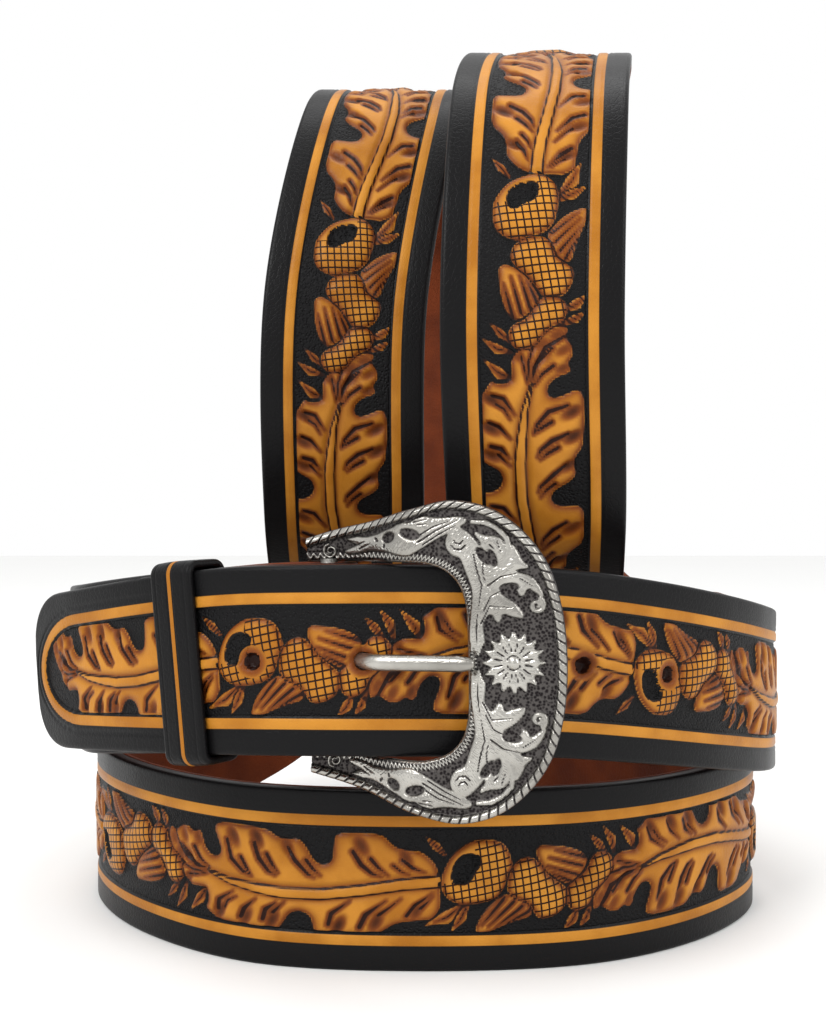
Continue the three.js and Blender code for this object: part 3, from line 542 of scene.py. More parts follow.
# Rings of a strip, from shares of its half width and heights out from its middle, a row for each place.
def stripRings(s, shares, heights):
    place, along, up, out = route.axes(s)
    half = halfWidth(s)[:, None, None]
    return place[:, None] + up[:, None] * (shares[..., None] * half) + out[:, None] * heights[..., None]


def fitShift():    # how far the solids' frame is moved from the route's own origin
    s = np.linspace(0, route.length, 3000)
    shares = np.tile(np.array([-1.0, 1.0]), (len(s), 1))
    both = np.concatenate([stripRings(s, shares, np.full(shares.shape, level))
                           for level in (strap["glueGap"] / 2, outerFace)]).reshape(-1, 3)
    nodeLow, nodeHigh = (np.array(v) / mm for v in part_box("strap"))
    return ((nodeLow + nodeHigh) - (both.min(0) + both.max(0))) / 2


shift = fitShift()
print("strap is", round(route.length, 1), "mm long, and is moved by", shift.round(2))


def leatherStrip(name, start, end, step):
    s = np.linspace(start, end, int((end - start) / step) + 1)
    if start == 0:
        tip = strap["tipLength"] * np.linspace(0, 1, 40) ** 1.7
        s = np.concatenate([tip[:-1], s[s >= strap["tipLength"]]])
    half = strap["width"] / 2
    inner = np.arange(0, half - strap["margin"] - strap["line"], strap["across"])
    rim = half - np.array([1.0, 0.6, 0.3, 0.1, 0])
    outer = np.concatenate([np.arange(inner[-1] + 0.4, half - 1.2, 0.55), rim])
    top = np.concatenate([-outer[::-1], -inner[1:][::-1], inner, outer]) / half
    shares = np.tile(top, (len(s), 1))
    found = toolStrap(np.tile(s[:, None], (1, len(top))), shares * halfWidth(s)[:, None])
    face = outerFace + found.pop("height")
    low = strap["glueGap"] / 2
    sides = np.array([1, 1, 0.5, 0, -0.5, -1, -1])
    levels = np.array([1.0, low, low, low, low, low, 1.0])
    shares = np.concatenate([shares, np.tile(sides, (len(s), 1))], 1)
    heights = np.concatenate([face, np.tile(levels, (len(s), 1))], 1)
    rest = (len(s), len(sides))
    values = {key: np.concatenate([array, np.full(rest, plainMasks.get(key, 0.0))], 1)
              for key, array in found.items()}
    values["side"] = np.concatenate([np.zeros(face.shape), np.ones(rest)], 1)
    values["layS"] = np.tile(s[:, None], (1, shares.shape[1]))
    values["layW"] = shares * halfWidth(s)[:, None]
    strip = bodyFromRings(name, stripRings(s, shares, heights), values)
    strip.data.materials.append(tooled)
    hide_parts("strap")
    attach(strip, "root")
    print(name, len(strip.data.polygons), "faces")


def liningStrip():
    s = np.concatenate([strap["tipLength"] * np.linspace(0, 1, 12) ** 1.7,
                        np.arange(strap["tipLength"] + 2, foldStart, 2.5),
                        np.linspace(foldStart, route.length, 60)])
    shares = np.array([-1, -1, -0.96, -0.5, 0, 0.5, 0.96, 1, 1, 0.5, 0, -0.5])
    low, high = -innerFace, -strap["glueGap"] / 2
    heights = np.array([high, low + 0.4, low, low, low, low, low, low + 0.4, high, high, high, high])
    rings = stripRings(s, np.tile(shares, (len(s), 1)), np.tile(heights, (len(s), 1)))
    strip = bodyFromRings("lining_leather", rings)
    strip.data.materials.append(liningLeather())
    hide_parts("lining")
    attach(strip, "root")


# The camera: near and almost level with the buckle, as the photo was taken.
cameraSet = {"front": 310.0, "height": 104.6, "pitch": 1.54, "focalPixels": 1565.5, "imageHeight": 1024,
             "sensor": 36, "clip": 0.01}


def addCamera():
    data = bpy.data.cameras.new("camera")
    data.sensor_fit = "VERTICAL"
    data.sensor_height = cameraSet["sensor"]
    data.lens = cameraSet["focalPixels"] / cameraSet["imageHeight"] * data.sensor_height
    data.clip_start = cameraSet["clip"]
    camera = bpy.data.objects.new("camera", data)
    bpy.context.scene.collection.objects.link(camera)
    place = np.array([0, -cameraSet["front"], cameraSet["height"]])
    place[:2] += shift[:2]
    camera.location = place * mm
    camera.rotation_euler = (math.radians(90 - cameraSet["pitch"]), 0, 0)
    bpy.context.scene.camera = camera


addCamera()


def node(tree, kind, **values):
    made = tree.nodes.new(kind)
    for key, value in values.items():
        setattr(made, key, value)
    return made


def wire(tree, source, target):
    tree.links.new(source, target)


def maths(tree, operation, a, b=0.0, c=None):
    made = tree.nodes.new("ShaderNodeMath")
    made.operation = operation
    for index, value in enumerate((a, b, c)):
        if value is None:
            continue
        if isinstance(value, (int, float)):
            made.inputs[index].default_value = value
        else:
            tree.links.new(value, made.inputs[index])
    return made.outputs[0]


def ramp(tree, value, low, high, outLow=0.0, outHigh=1.0):
    made = node(tree, "ShaderNodeMapRange", interpolation_type="SMOOTHSTEP")
    made.inputs["From Min"].default_value = low
    made.inputs["From Max"].default_value = high
    made.inputs["To Min"].default_value = outLow
    made.inputs["To Max"].default_value = outHigh
    wire(tree, value, made.inputs["Value"])
    return made.outputs["Result"]


def attribute(tree, name):
    return node(tree, "ShaderNodeAttribute", attribute_name=name).outputs["Fac"]


def mixColour(tree, share, a, b):
    made = node(tree, "ShaderNodeMix", data_type="RGBA")
    for socket, value in ((made.inputs[0], share), (made.inputs[6], a), (made.inputs[7], b)):
        if isinstance(value, (int, float, tuple)):
            socket.default_value = value
        else:
            wire(tree, value, socket)
    return made.outputs[2]


grainLook = {"fineSize": 2600, "fineShare": 0.5, "slowSize": 70, "cellEdge": 0.12, "stain": (0.3, 0.7)}


def grainGroup():    # fine grain as a height, and a slow stain
    group = bpy.data.node_groups.new("leatherGrain", "ShaderNodeTree")
    group.interface.new_socket("Size", in_out="INPUT", socket_type="NodeSocketFloat")
    group.interface.new_socket("Height", in_out="OUTPUT", socket_type="NodeSocketFloat")
    group.interface.new_socket("Stain", in_out="OUTPUT", socket_type="NodeSocketFloat")
    start, end = group.nodes.new("NodeGroupInput"), group.nodes.new("NodeGroupOutput")
    place = node(group, "ShaderNodeTexCoord").outputs["Object"]
    cells = node(group, "ShaderNodeTexVoronoi", feature="DISTANCE_TO_EDGE")
    wire(group, place, cells.inputs["Vector"])
    wire(group, start.outputs["Size"], cells.inputs["Scale"])
    fine = node(group, "ShaderNodeTexNoise")
    fine.inputs["Scale"].default_value = grainLook["fineSize"]
    fine.inputs["Detail"].default_value = 3
    wire(group, place, fine.inputs["Vector"])
    slow = node(group, "ShaderNodeTexNoise")
    slow.inputs["Scale"].default_value = grainLook["slowSize"]
    slow.inputs["Detail"].default_value = 4
    wire(group, place, slow.inputs["Vector"])
    pits = ramp(group, cells.outputs["Distance"], 0.0, grainLook["cellEdge"])
    height = maths(group, "MULTIPLY_ADD", fine.outputs[0], grainLook["fineShare"], pits)
    wire(group, height, end.inputs["Height"])
    wire(group, ramp(group, slow.outputs[0], *grainLook["stain"]), end.inputs["Stain"])
    return group


grain = grainGroup()


def useGrain(tree, size):
    made = node(tree, "ShaderNodeGroup", node_tree=grain)
    made.inputs["Size"].default_value = size
    return made.outputs["Height"], made.outputs["Stain"]


def newMaterial(name):
    material = bpy.data.materials.new(name)
    material.use_nodes = True
    tree = material.node_tree
    return material, tree, tree.nodes["Principled BSDF"]


def bumpInto(tree, shader, height, distance, strength):
    bump = node(tree, "ShaderNodeBump")
    bump.inputs["Strength"].default_value = strength
    bump.inputs["Distance"].default_value = distance
    wire(tree, height, bump.inputs["Height"])
    wire(tree, bump.outputs["Normal"], shader.inputs["Normal"])


leatherLook = {
    "tan": (0.33, 0.120, 0.010, 1), "tanLight": (0.49, 0.205, 0.024, 1), "antique": (0.016, 0.004, 0.002, 1),
    "amber": (0.17, 0.042, 0.006, 1), "black": (0.0035, 0.0033, 0.0037, 1), "specular": 0.13,
    "grain": 900, "grainShare": 0.11, "bump": 0.00022, "bumpStrength": 0.9,
    "rough": 0.33, "stainRough": 0.08, "groundRough": 0.14,
    "hatchPitch": 1.6, "hatchWays": ((1.0, 0.12), (-0.2, 1.0)), "hatchLine": (0.13, 0.07), "hatchDeep": 1.2,
    "stamp": 1500, "stampShare": 0.8, "groundFrom": (8.0, 8.3),
}


def tooledLeather():
    material, tree, shader = newMaterial("tooled leather")
    look = leatherLook
    edge, tan, dark = (attribute(tree, key) for key in ("edge", "tan", "dark"))
    cut, hatch, side = (attribute(tree, key) for key in ("cut", "hatch", "side"))
    along, across = attribute(tree, "layS"), attribute(tree, "layW")
    height, stain = useGrain(tree, look["grain"])
    margin, lineEnd = strap["margin"], strap["margin"] + strap["line"]
    line = maths(tree, "MULTIPLY", ramp(tree, edge, margin - 0.1, margin + 0.1),
                 ramp(tree, edge, lineEnd + 0.05, lineEnd - 0.1))
    motif = ramp(tree, tan, -0.06, 0.14)
    shown = maths(tree, "MULTIPLY", maths(tree, "MAXIMUM", line, motif), ramp(tree, side, 0.5, 0.2))
    crossed = []
    for alongShare, acrossShare in look["hatchWays"]:    # the caps' crossed cuts
        lay = maths(tree, "MULTIPLY_ADD", across, acrossShare, maths(tree, "MULTIPLY", along, alongShare))
        wave = maths(tree, "PINGPONG", maths(tree, "DIVIDE", lay, look["hatchPitch"]), 0.5)
        crossed.append(ramp(tree, wave, *look["hatchLine"]))
    lines = maths(tree, "MULTIPLY", maths(tree, "MAXIMUM", *crossed), ramp(tree, hatch, 0.0, 0.2))
    base = mixColour(tree, stain, look["tan"], look["tanLight"])
    shade = maths(tree, "MULTIPLY", dark, maths(tree, "MULTIPLY_ADD", stain, 0.2, 0.85))
    amber = mixColour(tree, ramp(tree, shade, 0.05, 0.55), base, look["amber"])
    brown = mixColour(tree, ramp(tree, shade, 0.4, 0.95), amber, look["antique"])
    # the cut mask also paints the punched holes near-black inside, as painted shade; elsewhere it marks the
    # dyed cuts
    incised = maths(tree, "MAXIMUM", ramp(tree, cut, -0.08, 0.06), lines)
    dyed = mixColour(tree, incised, brown, look["antique"])
    wire(tree, mixColour(tree, shown, look["black"], dyed), shader.inputs["Base Color"])
    stamp = node(tree, "ShaderNodeTexVoronoi")
    stamp.inputs["Scale"].default_value = look["stamp"]
    wire(tree, node(tree, "ShaderNodeTexCoord").outputs["Object"], stamp.inputs["Vector"])
    ground = maths(tree, "MULTIPLY", ramp(tree, edge, *look["groundFrom"]), ramp(tree, tan, -0.02, -0.3))
    stamped = maths(tree, "MULTIPLY", ramp(tree, stamp.outputs["Distance"], 0.1, 0.6), ground)
    relief = maths(tree, "MULTIPLY_ADD", stamped, look["stampShare"],
                   maths(tree, "MULTIPLY", height, look["grainShare"]))
    relief = maths(tree, "MULTIPLY_ADD", lines, -look["hatchDeep"], relief)
    bumpInto(tree, shader, relief, look["bump"], look["bumpStrength"])
    worn = maths(tree, "MULTIPLY_ADD", stain, look["stainRough"], look["rough"])
    wire(tree, maths(tree, "MULTIPLY_ADD", ground, look["groundRough"], worn), shader.inputs["Roughness"])
    shader.inputs["Specular IOR Level"].default_value = look["specular"]
    return material


liningLook = {"dark": (0.10, 0.020, 0.006, 1), "light": (0.17, 0.036, 0.010, 1), "grain": 700,
              "rough": 0.6, "stainRough": 0.12, "bump": 0.00012, "bumpStrength": 0.6}


def liningLeather():
    material, tree, shader = newMaterial("lining leather")
    look = liningLook
    height, stain = useGrain(tree, look["grain"])
    wire(tree, mixColour(tree, stain, look["dark"], look["light"]), shader.inputs["Base Color"])
    rough = maths(tree, "MULTIPLY_ADD", stain, look["stainRough"], look["rough"])
    wire(tree, rough, shader.inputs["Roughness"])
    bumpInto(tree, shader, height, look["bump"], look["bumpStrength"])
    shader.inputs["Specular IOR Level"].default_value = leatherLook["specular"]
    return material


silverLook = {"dull": (0.27, 0.258, 0.235, 1), "bright": (0.47, 0.455, 0.420, 1), "grain": 500,
              "pit": (0.018, 0.015, 0.016, 1), "speck": (0.095, 0.087, 0.083, 1), "speckSize": 1700,
              "recessRough": 0.35, "stainRough": 0.1, "bump": 0.00006, "bumpStrength": 0.35}


def silver(name, roughness, usesRecess):
    material, tree, shader = newMaterial(name)
    look = silverLook
    shader.inputs["Metallic"].default_value = 1
    height, stain = useGrain(tree, look["grain"])
    colour = mixColour(tree, stain, look["dull"], look["bright"])
    rough = maths(tree, "MULTIPLY_ADD", stain, look["stainRough"], roughness)
    if usesRecess:
        recess = attribute(tree, "recess")
        specks = node(tree, "ShaderNodeTexVoronoi")
        specks.inputs["Scale"].default_value = look["speckSize"]
        wire(tree, node(tree, "ShaderNodeTexCoord").outputs["Object"], specks.inputs["Vector"])
        spread = ramp(tree, specks.outputs["Distance"], 0.25, 0.75)
        ground = mixColour(tree, spread, look["pit"], look["speck"])
        colour = mixColour(tree, ramp(tree, recess, 0.25, 0.8), colour, ground)
        rough = maths(tree, "MULTIPLY_ADD", recess, look["recessRough"], roughness)
    wire(tree, rough, shader.inputs["Roughness"])
    wire(tree, colour, shader.inputs["Base Color"])
    bumpInto(tree, shader, height, look["bump"], look["bumpStrength"])
    return material


tooled = tooledLeather()
stretches = [("strap_front", 0, 262, "fineStep"), ("strap_right_turn", 262, 720, "fineStep"),
             ("strap_left_turn", 720, 1160, "fineStep"), ("strap_low_front", 1160, 1560, "fineStep"),
             ("strap_back", 1560, route.length, "plainStep")]
for name, start, end, step in stretches:
    leatherStrip(name, start, end, strap[step])
liningStrip()
print("strap made")

# Buckle: x runs from the bar along the strap and z up across it, in millimetres.
buckle = {
    "length": 49, "half": 31.4, "thick": 3.1, "armLift": 21, "bowClear": 0.35, "openHalf": 19.4,
    "innerShare": 0.618,
    # the casting's forms: rises are shares of its thickness or millimetres over its ground
    "groundShare": 0.60, "stipple": 0.09, "workRise": 0.62, "workDome": 0.22, "cutDeep": 0.32,
    "edgeDark": 0.55, "edgeSoft": 0.35, "buttonRise": 0.55, "borderRise": 0.25, "borderSwing": 0.5,
    "ropeShare": 0.42, "beadShare": 0.52, "strandLean": 0.8, "lipShare": 0.33, "lipWide": 0.9,
    "petalReach": (0.75, 0.25, 1.3), "raysFrom": 1.9, "raysTo": 4.2,
    "ropeWide": 2.0, "ropePitch": 2.0, "rounds": 800, "acrosses": 78, "swell": 0.3,
    "barSeat": 0.4, "borderAt": 1.15, "borderPitch": 1.3,
    "flowerAt": 38.8, "flowerRadius": 6.3, "petals": 16, "button": 1.25,
    # rows of the outer x and z, then the inner, in shares of the length and the half height
    "edge": [(-0.092, 0.765, -0.092, 0.608), (0.041, 0.822, 0.061, 0.610), (0.204, 0.873, 0.204, 0.618),
             (0.388, 0.949, 0.337, 0.618), (0.561, 1.000, 0.439, 0.611), (0.724, 0.936, 0.520, 0.567),
             (0.849, 0.783, 0.576, 0.478), (0.935, 0.586, 0.602, 0.350), (0.984, 0.318, 0.608, 0.178),
             (1.000, 0.000, 0.608, 0.000)],
    # raised leaves of one half
    "leaves": [
        [(29.1, 20.2), (30.3, 16.7), (31.4, 13.6), (30.7, 8.4), (30.3, 4.0), (31.6, 1.7), (33.2, 1.0),
         (33.0, 4.0), (32.6, 8.0), (33.0, 11.4), (34.3, 15.4), (35.5, 17.1), (34.3, 19.3), (33.0, 21.5),
         (31.6, 23.6), (29.8, 25.4), (28.0, 26.3), (26.4, 24.7), (26.0, 22.8), (27.1, 21.0), (28.4, 20.6)],
        [(3.4, 21.2), (5.3, 20.9), (8.0, 21.3), (9.9, 21.8), (13.4, 21.7), (16.4, 21.0), (18.8, 20.9),
         (21.0, 22.2), (24.5, 24.3), (27.4, 25.6), (30.5, 27.4), (28.7, 28.2), (26.4, 27.9), (23.7, 27.9),
         (21.8, 28.4), (20.2, 27.6), (18.6, 26.8), (17.0, 27.3), (15.9, 26.3), (14.6, 25.8), (12.8, 25.1),
         (11.0, 24.4), (8.4, 23.9), (6.1, 24.2), (3.8, 24.1), (5.9, 23.2), (7.5, 22.7), (5.9, 22.0)],
        [(31.4, 25.4), (33.3, 24.3), (35.6, 24.3), (37.1, 23.3), (37.7, 21.0), (37.0, 18.8), (36.0, 17.2),
         (34.1, 16.4), (33.3, 17.6), (31.8, 19.1), (30.2, 21.4), (31.9, 21.8), (33.4, 22.8)],
        [(35.2, 17.6), (37.9, 18.9), (39.0, 20.7), (38.6, 23.0), (40.0, 21.0), (40.4, 19.6), (42.2, 18.2),
         (40.0, 18.2), (39.0, 17.4), (42.3, 16.6), (44.0, 14.6), (44.8, 12.4), (43.6, 13.4), (41.6, 14.8),
         (40.6, 12.4), (39.6, 14.6), (37.6, 15.6), (36.0, 14.8), (36.2, 13.0), (39.2, 11.4), (41.2, 8.5),
         (38.6, 9.0), (36.6, 9.9), (36.0, 7.4), (34.6, 9.8), (33.2, 8.8), (32.2, 6.2), (31.9, 9.4),
         (33.0, 12.6), (34.2, 15.2)],
    ],
    # sunken ovals as (x, z, half length, half width, tilt)
    "pits": [(14.2, 24.2, 1.3, 0.9, 20), (18.9, 25.0, 1.9, 0.9, -12), (33.3, 20.6, 1.9, 0.85, -50),
             (38.2, 14.4, 1.7, 0.8, 10), (35.0, 20.2, 0.7, 1.6, 20)],
    # stems as (x, z, half width)
    "stems": [
        [(31.2, 27.2, 0.5), (33.8, 27.0, 0.6), (36.0, 25.9, 0.6), (37.9, 23.9, 0.6), (38.3, 21.4, 0.6),
         (37.4, 18.6, 0.65), (35.6, 16.4, 0.7), (33.9, 13.6, 0.8), (32.8, 10.4, 0.8), (32.0, 6.4, 0.7),
         (31.6, 1.8, 0.45)],
        [(29.2, 20.4, 0.6), (30.6, 18.0, 0.6), (31.8, 15.0, 0.55), (31.6, 11.6, 0.5), (31.0, 7.6, 0.5),
         (30.7, 2.4, 0.4)],
    ],
    # curls as (x, z, radius, start, turn, half width)
    "curls": [(0.5, 21.3, 1.55, 110, 560, 0.34), (43.4, 11.0, 1.5, 60, -480, 0.62)],
    # engraved lines
    "cuts": [[(27.0, 22.9, 0.1), (27.8, 22.0, 0.18), (29.0, 21.9, 0.18), (30.0, 22.8, 0.1)],
             [(27.6, 23.8, 0.1), (28.1, 23.1, 0.16), (28.9, 23.0, 0.16), (29.4, 23.6, 0.1)],
             [(31.4, 21.0, 0.1), (32.0, 18.0, 0.16), (32.9, 15.0, 0.14), (32.3, 11.0, 0.06)],
             [(33.2, 20.0, 0.1), (33.2, 17.4, 0.14), (33.6, 15.6, 0.06)],
             [(32.0, 9.4, 0.06), (31.7, 6.4, 0.15), (31.9, 3.2, 0.06)],
             [(20.6, 23.4, 0.14), (24.2, 25.6, 0.14), (28.6, 27.6, 0.05)],
             [(20.0, 24.2, 0.12), (23.8, 26.4, 0.12), (27.0, 27.4, 0.05)],
             [(21.6, 22.9, 0.12), (25.0, 25.0, 0.12), (28.0, 26.5, 0.05)],
             [(20.6, 26.8, 0.12), (23.0, 26.9, 0.05)], [(19.8, 27.3, 0.12), (22.4, 27.8, 0.05)],
             [(6.0, 22.4, 0.12), (8.6, 23.3, 0.05)], [(7.2, 21.8, 0.12), (9.8, 22.9, 0.05)],
             [(11.2, 23.9, 0.25), (11.6, 23.5, 0.2)], [(13.2, 22.8, 0.22), (13.2, 22.3, 0.2)],
             [(34.6, 22.8, 0.12), (36.2, 20.8, 0.05)], [(36.0, 23.4, 0.12), (36.8, 21.2, 0.05)],
             [(34.0, 14.8, 0.14), (36.6, 16.6, 0.1), (39.6, 17.2, 0.05)],
             [(33.2, 10.0, 0.14), (34.6, 12.8, 0.1), (36.6, 13.9, 0.05)],
             [(32.6, 7.6, 0.12), (34.4, 11.0, 0.1), (38.4, 10.6, 0.05)],
             [(40.4, 16.2, 0.12), (42.6, 14.8, 0.05)]],
}


def frameLift(x):
    rise = smooth(0, buckle["armLift"], x)
    low = -barDepth - buckle["thick"] / 2
    return low + (outerFace + buckle["bowClear"] - low) * rise


def buckleToRoute(points):
    place, forward, up, out = tipRoute.axesAt(strap["barAlong"])
    return place + points[..., 0:1] * forward + points[..., 1:2] * out + points[..., 2:3] * up


# How far inside the raised work a place is, how deep it is engraved, and its distance from the flower.
def castRelief(x, z):
    z = np.abs(z)
    raised = np.full(x.shape, -9.0)
    for loop in buckle["leaves"]:
        raised = np.maximum(raised, inLoop(x, z, roundLoop(loop)) + buckle["swell"])
    for values in buckle["pits"]:
        raised = np.minimum(raised, -inEllipse(x, z, *values))
    for points in buckle["stems"]:
        raised = np.maximum(raised, inStroke(x, z, points))
    for cx, cz, radius, start, turn, wide in buckle["curls"]:
        share = np.linspace(0, 1, 26)
        angle = np.radians(start + turn * share)
        size = radius * (1 - 0.8 * share)
        curl = list(zip(cx + size * np.cos(angle), cz + size * np.sin(angle), wide * (1 - 0.45 * share)))
        raised = np.maximum(raised, inStroke(x, z, curl))
    cut = np.zeros(x.shape)
    for points in buckle["cuts"]:
        cut = np.maximum(cut, smooth(-0.12, 0.06, inStroke(x, z, points)))
    along = x - buckle["flowerAt"]
    radius, angle = np.hypot(along, z), np.arctan2(z, along)
    petal = np.abs(((angle * buckle["petals"] / (2 * math.pi)) % 1) - 0.5) * 2
    low, swing, power = buckle["petalReach"]
    reach = buckle["flowerRadius"] * (low + swing * petal ** power)
    onFlower = radius < buckle["flowerRadius"] + 0.5
    raised = np.where(onFlower, reach - radius, raised)
    cut = np.where(onFlower, 0, cut)
    ray = smooth(0.36, 0.10, petal * radius * math.pi / buckle["petals"] * 1.3)
    ray *= smooth(buckle["raysFrom"], buckle["raysFrom"] + 0.4, radius)
    cut = np.maximum(cut, ray * smooth(buckle["raysTo"], buckle["raysTo"] - 0.6, radius))
    cut = np.maximum(cut, smooth(0.22, 0.06, np.abs(radius - buckle["button"] - 0.12)))
    return raised, cut, radius


def frameEdges():    # the outer and inner edge, evenly over the rows, and how far round the outer one is
    rows = buckle["edge"]
    table = np.array(rows + [(a, -b, c, -d) for a, b, c, d in rows[-2::-1]])
    shares = np.linspace(0, 1, buckle["rounds"])
    even = np.linspace(0, 1, 2000)
    sides = []
    for column, stretch in ((0, 1.0), (2, buckle["openHalf"] / (buckle["innerShare"] * buckle["half"]))):
        line = np.stack([table[:, column] * buckle["length"], 0 * table[:, 0],
                         table[:, column + 1] * buckle["half"]], 1)
        steps = np.linalg.norm(np.diff(curveThrough(line, even), axis=0), axis=1)
        gone = np.interp(shares, even, np.concatenate([[0], np.cumsum(steps)]))
        at = curveThrough(line, shares)
        at[:, 2] *= stretch
        sides.append((at, gone))
    (outer, gone), (inner, _) = sides
    return outer, inner, gone


def castFrame():
    outer, inner, gone = frameEdges()
    share = 0.5 - 0.5 * np.cos(math.pi * np.linspace(0, 1, buckle["acrosses"]))
    grid = inner[:, None] * (1 - share[None, :, None]) + outer[:, None] * share[None, :, None]
    x, z = grid[..., 0], grid[..., 2]
    wide = np.linalg.norm(outer - inner, axis=1)[:, None]
    fromOuter, fromInner = (1 - share)[None] * wide, share[None] * wide
    ends = np.minimum(gone, gone[-1] - gone)[:, None]
    gone = gone[:, None]
    thick, ropeWide = buckle["thick"], buckle["ropeWide"]
    raised, cut, flower = castRelief(x, z)
    raised = np.minimum(raised, np.minimum(fromOuter - ropeWide - 0.35, ends - 0.7))
    up = smooth(-0.12, 0.3, raised)
    noise = np.sin(x * 17.1 + 2 * np.sin(z * 9.3)) * np.sin(z * 16.3 + 2 * np.sin(x * 8.7))
    height = thick * buckle["groundShare"] + buckle["stipple"] * noise
    height += up * (buckle["workRise"] + buckle["workDome"] * smooth(0.1, 1.2, raised))
    height -= buckle["cutDeep"] * cut * up
    wash = buckle["edgeDark"] * np.exp(-np.maximum(raised, 0) / buckle["edgeSoft"])
    recess = np.maximum(1 - up, np.maximum(cut, wash) * up)
    height += buckle["buttonRise"] * np.sqrt(smooth(buckle["button"], 0.0, flower))
    # zigzag border inside, then the lip beside the opening
    border = smooth(2.4, 2.0, fromInner) * (1 - up)
    swing = np.abs(((gone / buckle["borderPitch"]) % 1) - 0.5) * 4 - 1
    zig = smooth(0.42, 0.12, np.abs(fromInner - buckle["borderAt"] - buckle["borderSwing"] * swing))
    height += border * (buckle["borderRise"] * zig - 0.1)
    recess = np.where(border > 0.5, 0.9 - 0.85 * zig, recess)
    recess = recess * (1 - 0.8 * smooth(0.55, 0.3, fromInner))
    left = 1 - np.clip(fromInner / buckle["lipWide"], 0, 1)
    height -= buckle["lipShare"] * thick * (1 - np.sqrt(np.clip(1 - left ** 2, 0, 1)))
    # the rope round the outside
    rope = ropeWide / 2
    bead = np.sqrt(np.clip(1 - ((fromOuter - rope) / rope) ** 2, 0, 1))
    turns = (gone + buckle["strandLean"] * (fromOuter - rope)) / buckle["ropePitch"]
    strand = np.abs((turns % 1) - 0.5) * 2
    isRope = smooth(ropeWide + 0.12, ropeWide - 0.05, fromOuter)
    wrapped = bead * (0.72 + 0.28 * smooth(0.0, 0.32, strand))
    ropeHeight = thick * (buckle["ropeShare"] + buckle["beadShare"] * wrapped)
    height = height * (1 - isRope) + ropeHeight * isRope
    recess = np.where(isRope > 0.5, 1 - smooth(0.0, 0.5, strand) * smooth(0.2, 0.75, bead), recess)
    front = np.stack([x, frameLift(x) + height, z], -1)
    backShare = np.array([1, 0.97, 0.66, 0.33, 0.03, 0])
    backRise = np.array([0.30, 0.0, 0, 0, 0.0, 0.30])
    back = inner[:, None] * (1 - backShare[None, :, None]) + outer[:, None] * backShare[None, :, None]
    back = np.stack([back[..., 0], frameLift(back[..., 0]) + backRise * thick, back[..., 2]], -1)
    rings = buckleToRoute(np.concatenate([front, back], 1))
    values = {"recess": np.concatenate([recess, np.full(back.shape[:2], 0.6)], 1)}
    return bodyFromRings("buckle_casting", rings, values)


def tubeRings(path, across, out, wide, high, sides=24):
    turn = np.linspace(0, 2 * math.pi, sides, endpoint=False)
    return (path[:, None] + across[:, None] * (np.cos(turn)[None, :, None] * wide[:, None, None])
            + out[:, None] * (np.sin(turn)[None, :, None] * high[:, None, None]))


def barRod():
    end = buckle["openHalf"] + buckle["barSeat"]
    z = np.linspace(-end, end, 12)
    path = np.stack([0 * z, 0 * z - barDepth, z], 1)
    radius = np.full(len(z), strap["barRadius"])
    rings = buckleToRoute(tubeRings(path, np.tile([1.0, 0, 0], (len(z), 1)),
                                    np.tile([0, 1.0, 0], (len(z), 1)), radius, radius))
    return bodyFromRings("buckle_bar", rings, {"recess": np.full(rings.shape[:2], 0.5)})


prongSet = {"radius": 1.6, "reach": 31.5, "flat": 0.85, "steps": 90, "point": 0.9, "blunt": 0.82,
            "rise": 3.2, "bend": 8, "corner": 0.6}


def prongShank():
    radius, reach, hole = prongSet["radius"], prongSet["reach"], strap["prongHoleAt"]
    over = outerFace + radius + strap["layerGap"]
    tipLift = frameLift(np.array([reach]))[0] + buckle["thick"] * 0.8 + radius + strap["layerGap"]
    rows = np.array([(foldRadius * 0.5, -barDepth + foldRadius * 0.62, 0), (hole * 0.62, -innerFace - 0.9, 0),
                     (hole, outerFace / 2, 0), (hole + prongSet["rise"], over - 0.3, 0),
                     (hole + prongSet["bend"], over + 0.6, 0), (reach * 0.8, (over + tipLift) / 2 + 0.4, 0),
                     (reach, tipLift, 0)], float)
    t = np.linspace(0, 1, prongSet["steps"])
    path = curveThrough(rows, t)
    along = curveThrough(rows, t + nudge) - curveThrough(rows, t - nudge)
    along /= np.linalg.norm(along, axis=1)[:, None]
    across = np.tile([0, 0, 1.0], (len(t), 1))
    left = np.clip((t - prongSet["point"]) / (1 - prongSet["point"]), 0, 1)
    taper = radius * np.sqrt(np.clip(1 - left ** 2 * prongSet["blunt"], 0, 1))
    rings = tubeRings(path, across, np.cross(across, along), taper, taper * prongSet["flat"])
    return bodyFromRings("prong_shank", buckleToRoute(rings))


def prongLoop():
    inner = strap["barRadius"] + strap["barClear"] / 2
    outer, wide = inner + prongSet["radius"], prongSet["radius"] * 0.9
    turn = np.linspace(0, 2 * math.pi, 36, endpoint=False)
    section = np.linspace(0, 2 * math.pi, 20, endpoint=False)
    across, along = (np.sign(side) * np.abs(side) ** prongSet["corner"]
                     for side in (np.cos(section), np.sin(section)))
    r = (inner + outer) / 2 + (outer - inner) / 2 * across
    points = np.stack([np.cos(turn)[:, None] * r, np.sin(turn)[:, None] * r - barDepth,
                       np.tile(wide * along, (len(turn), 1))], -1)
    return bodyFromRings("prong_loop", buckleToRoute(points), closed=True)


keeperSet = {"at": 55.5, "wide": 11.0, "thick": 1.7, "clear": 0.4, "line": 1.0, "corner": 1.4, "round": 0.8,
             "hollow": 0.25, "groove": 0.16, "creaseIn": 1.7, "creaseDeep": 0.10,
             "rough": 0.33, "bump": 0.0001, "bumpStrength": 0.3}


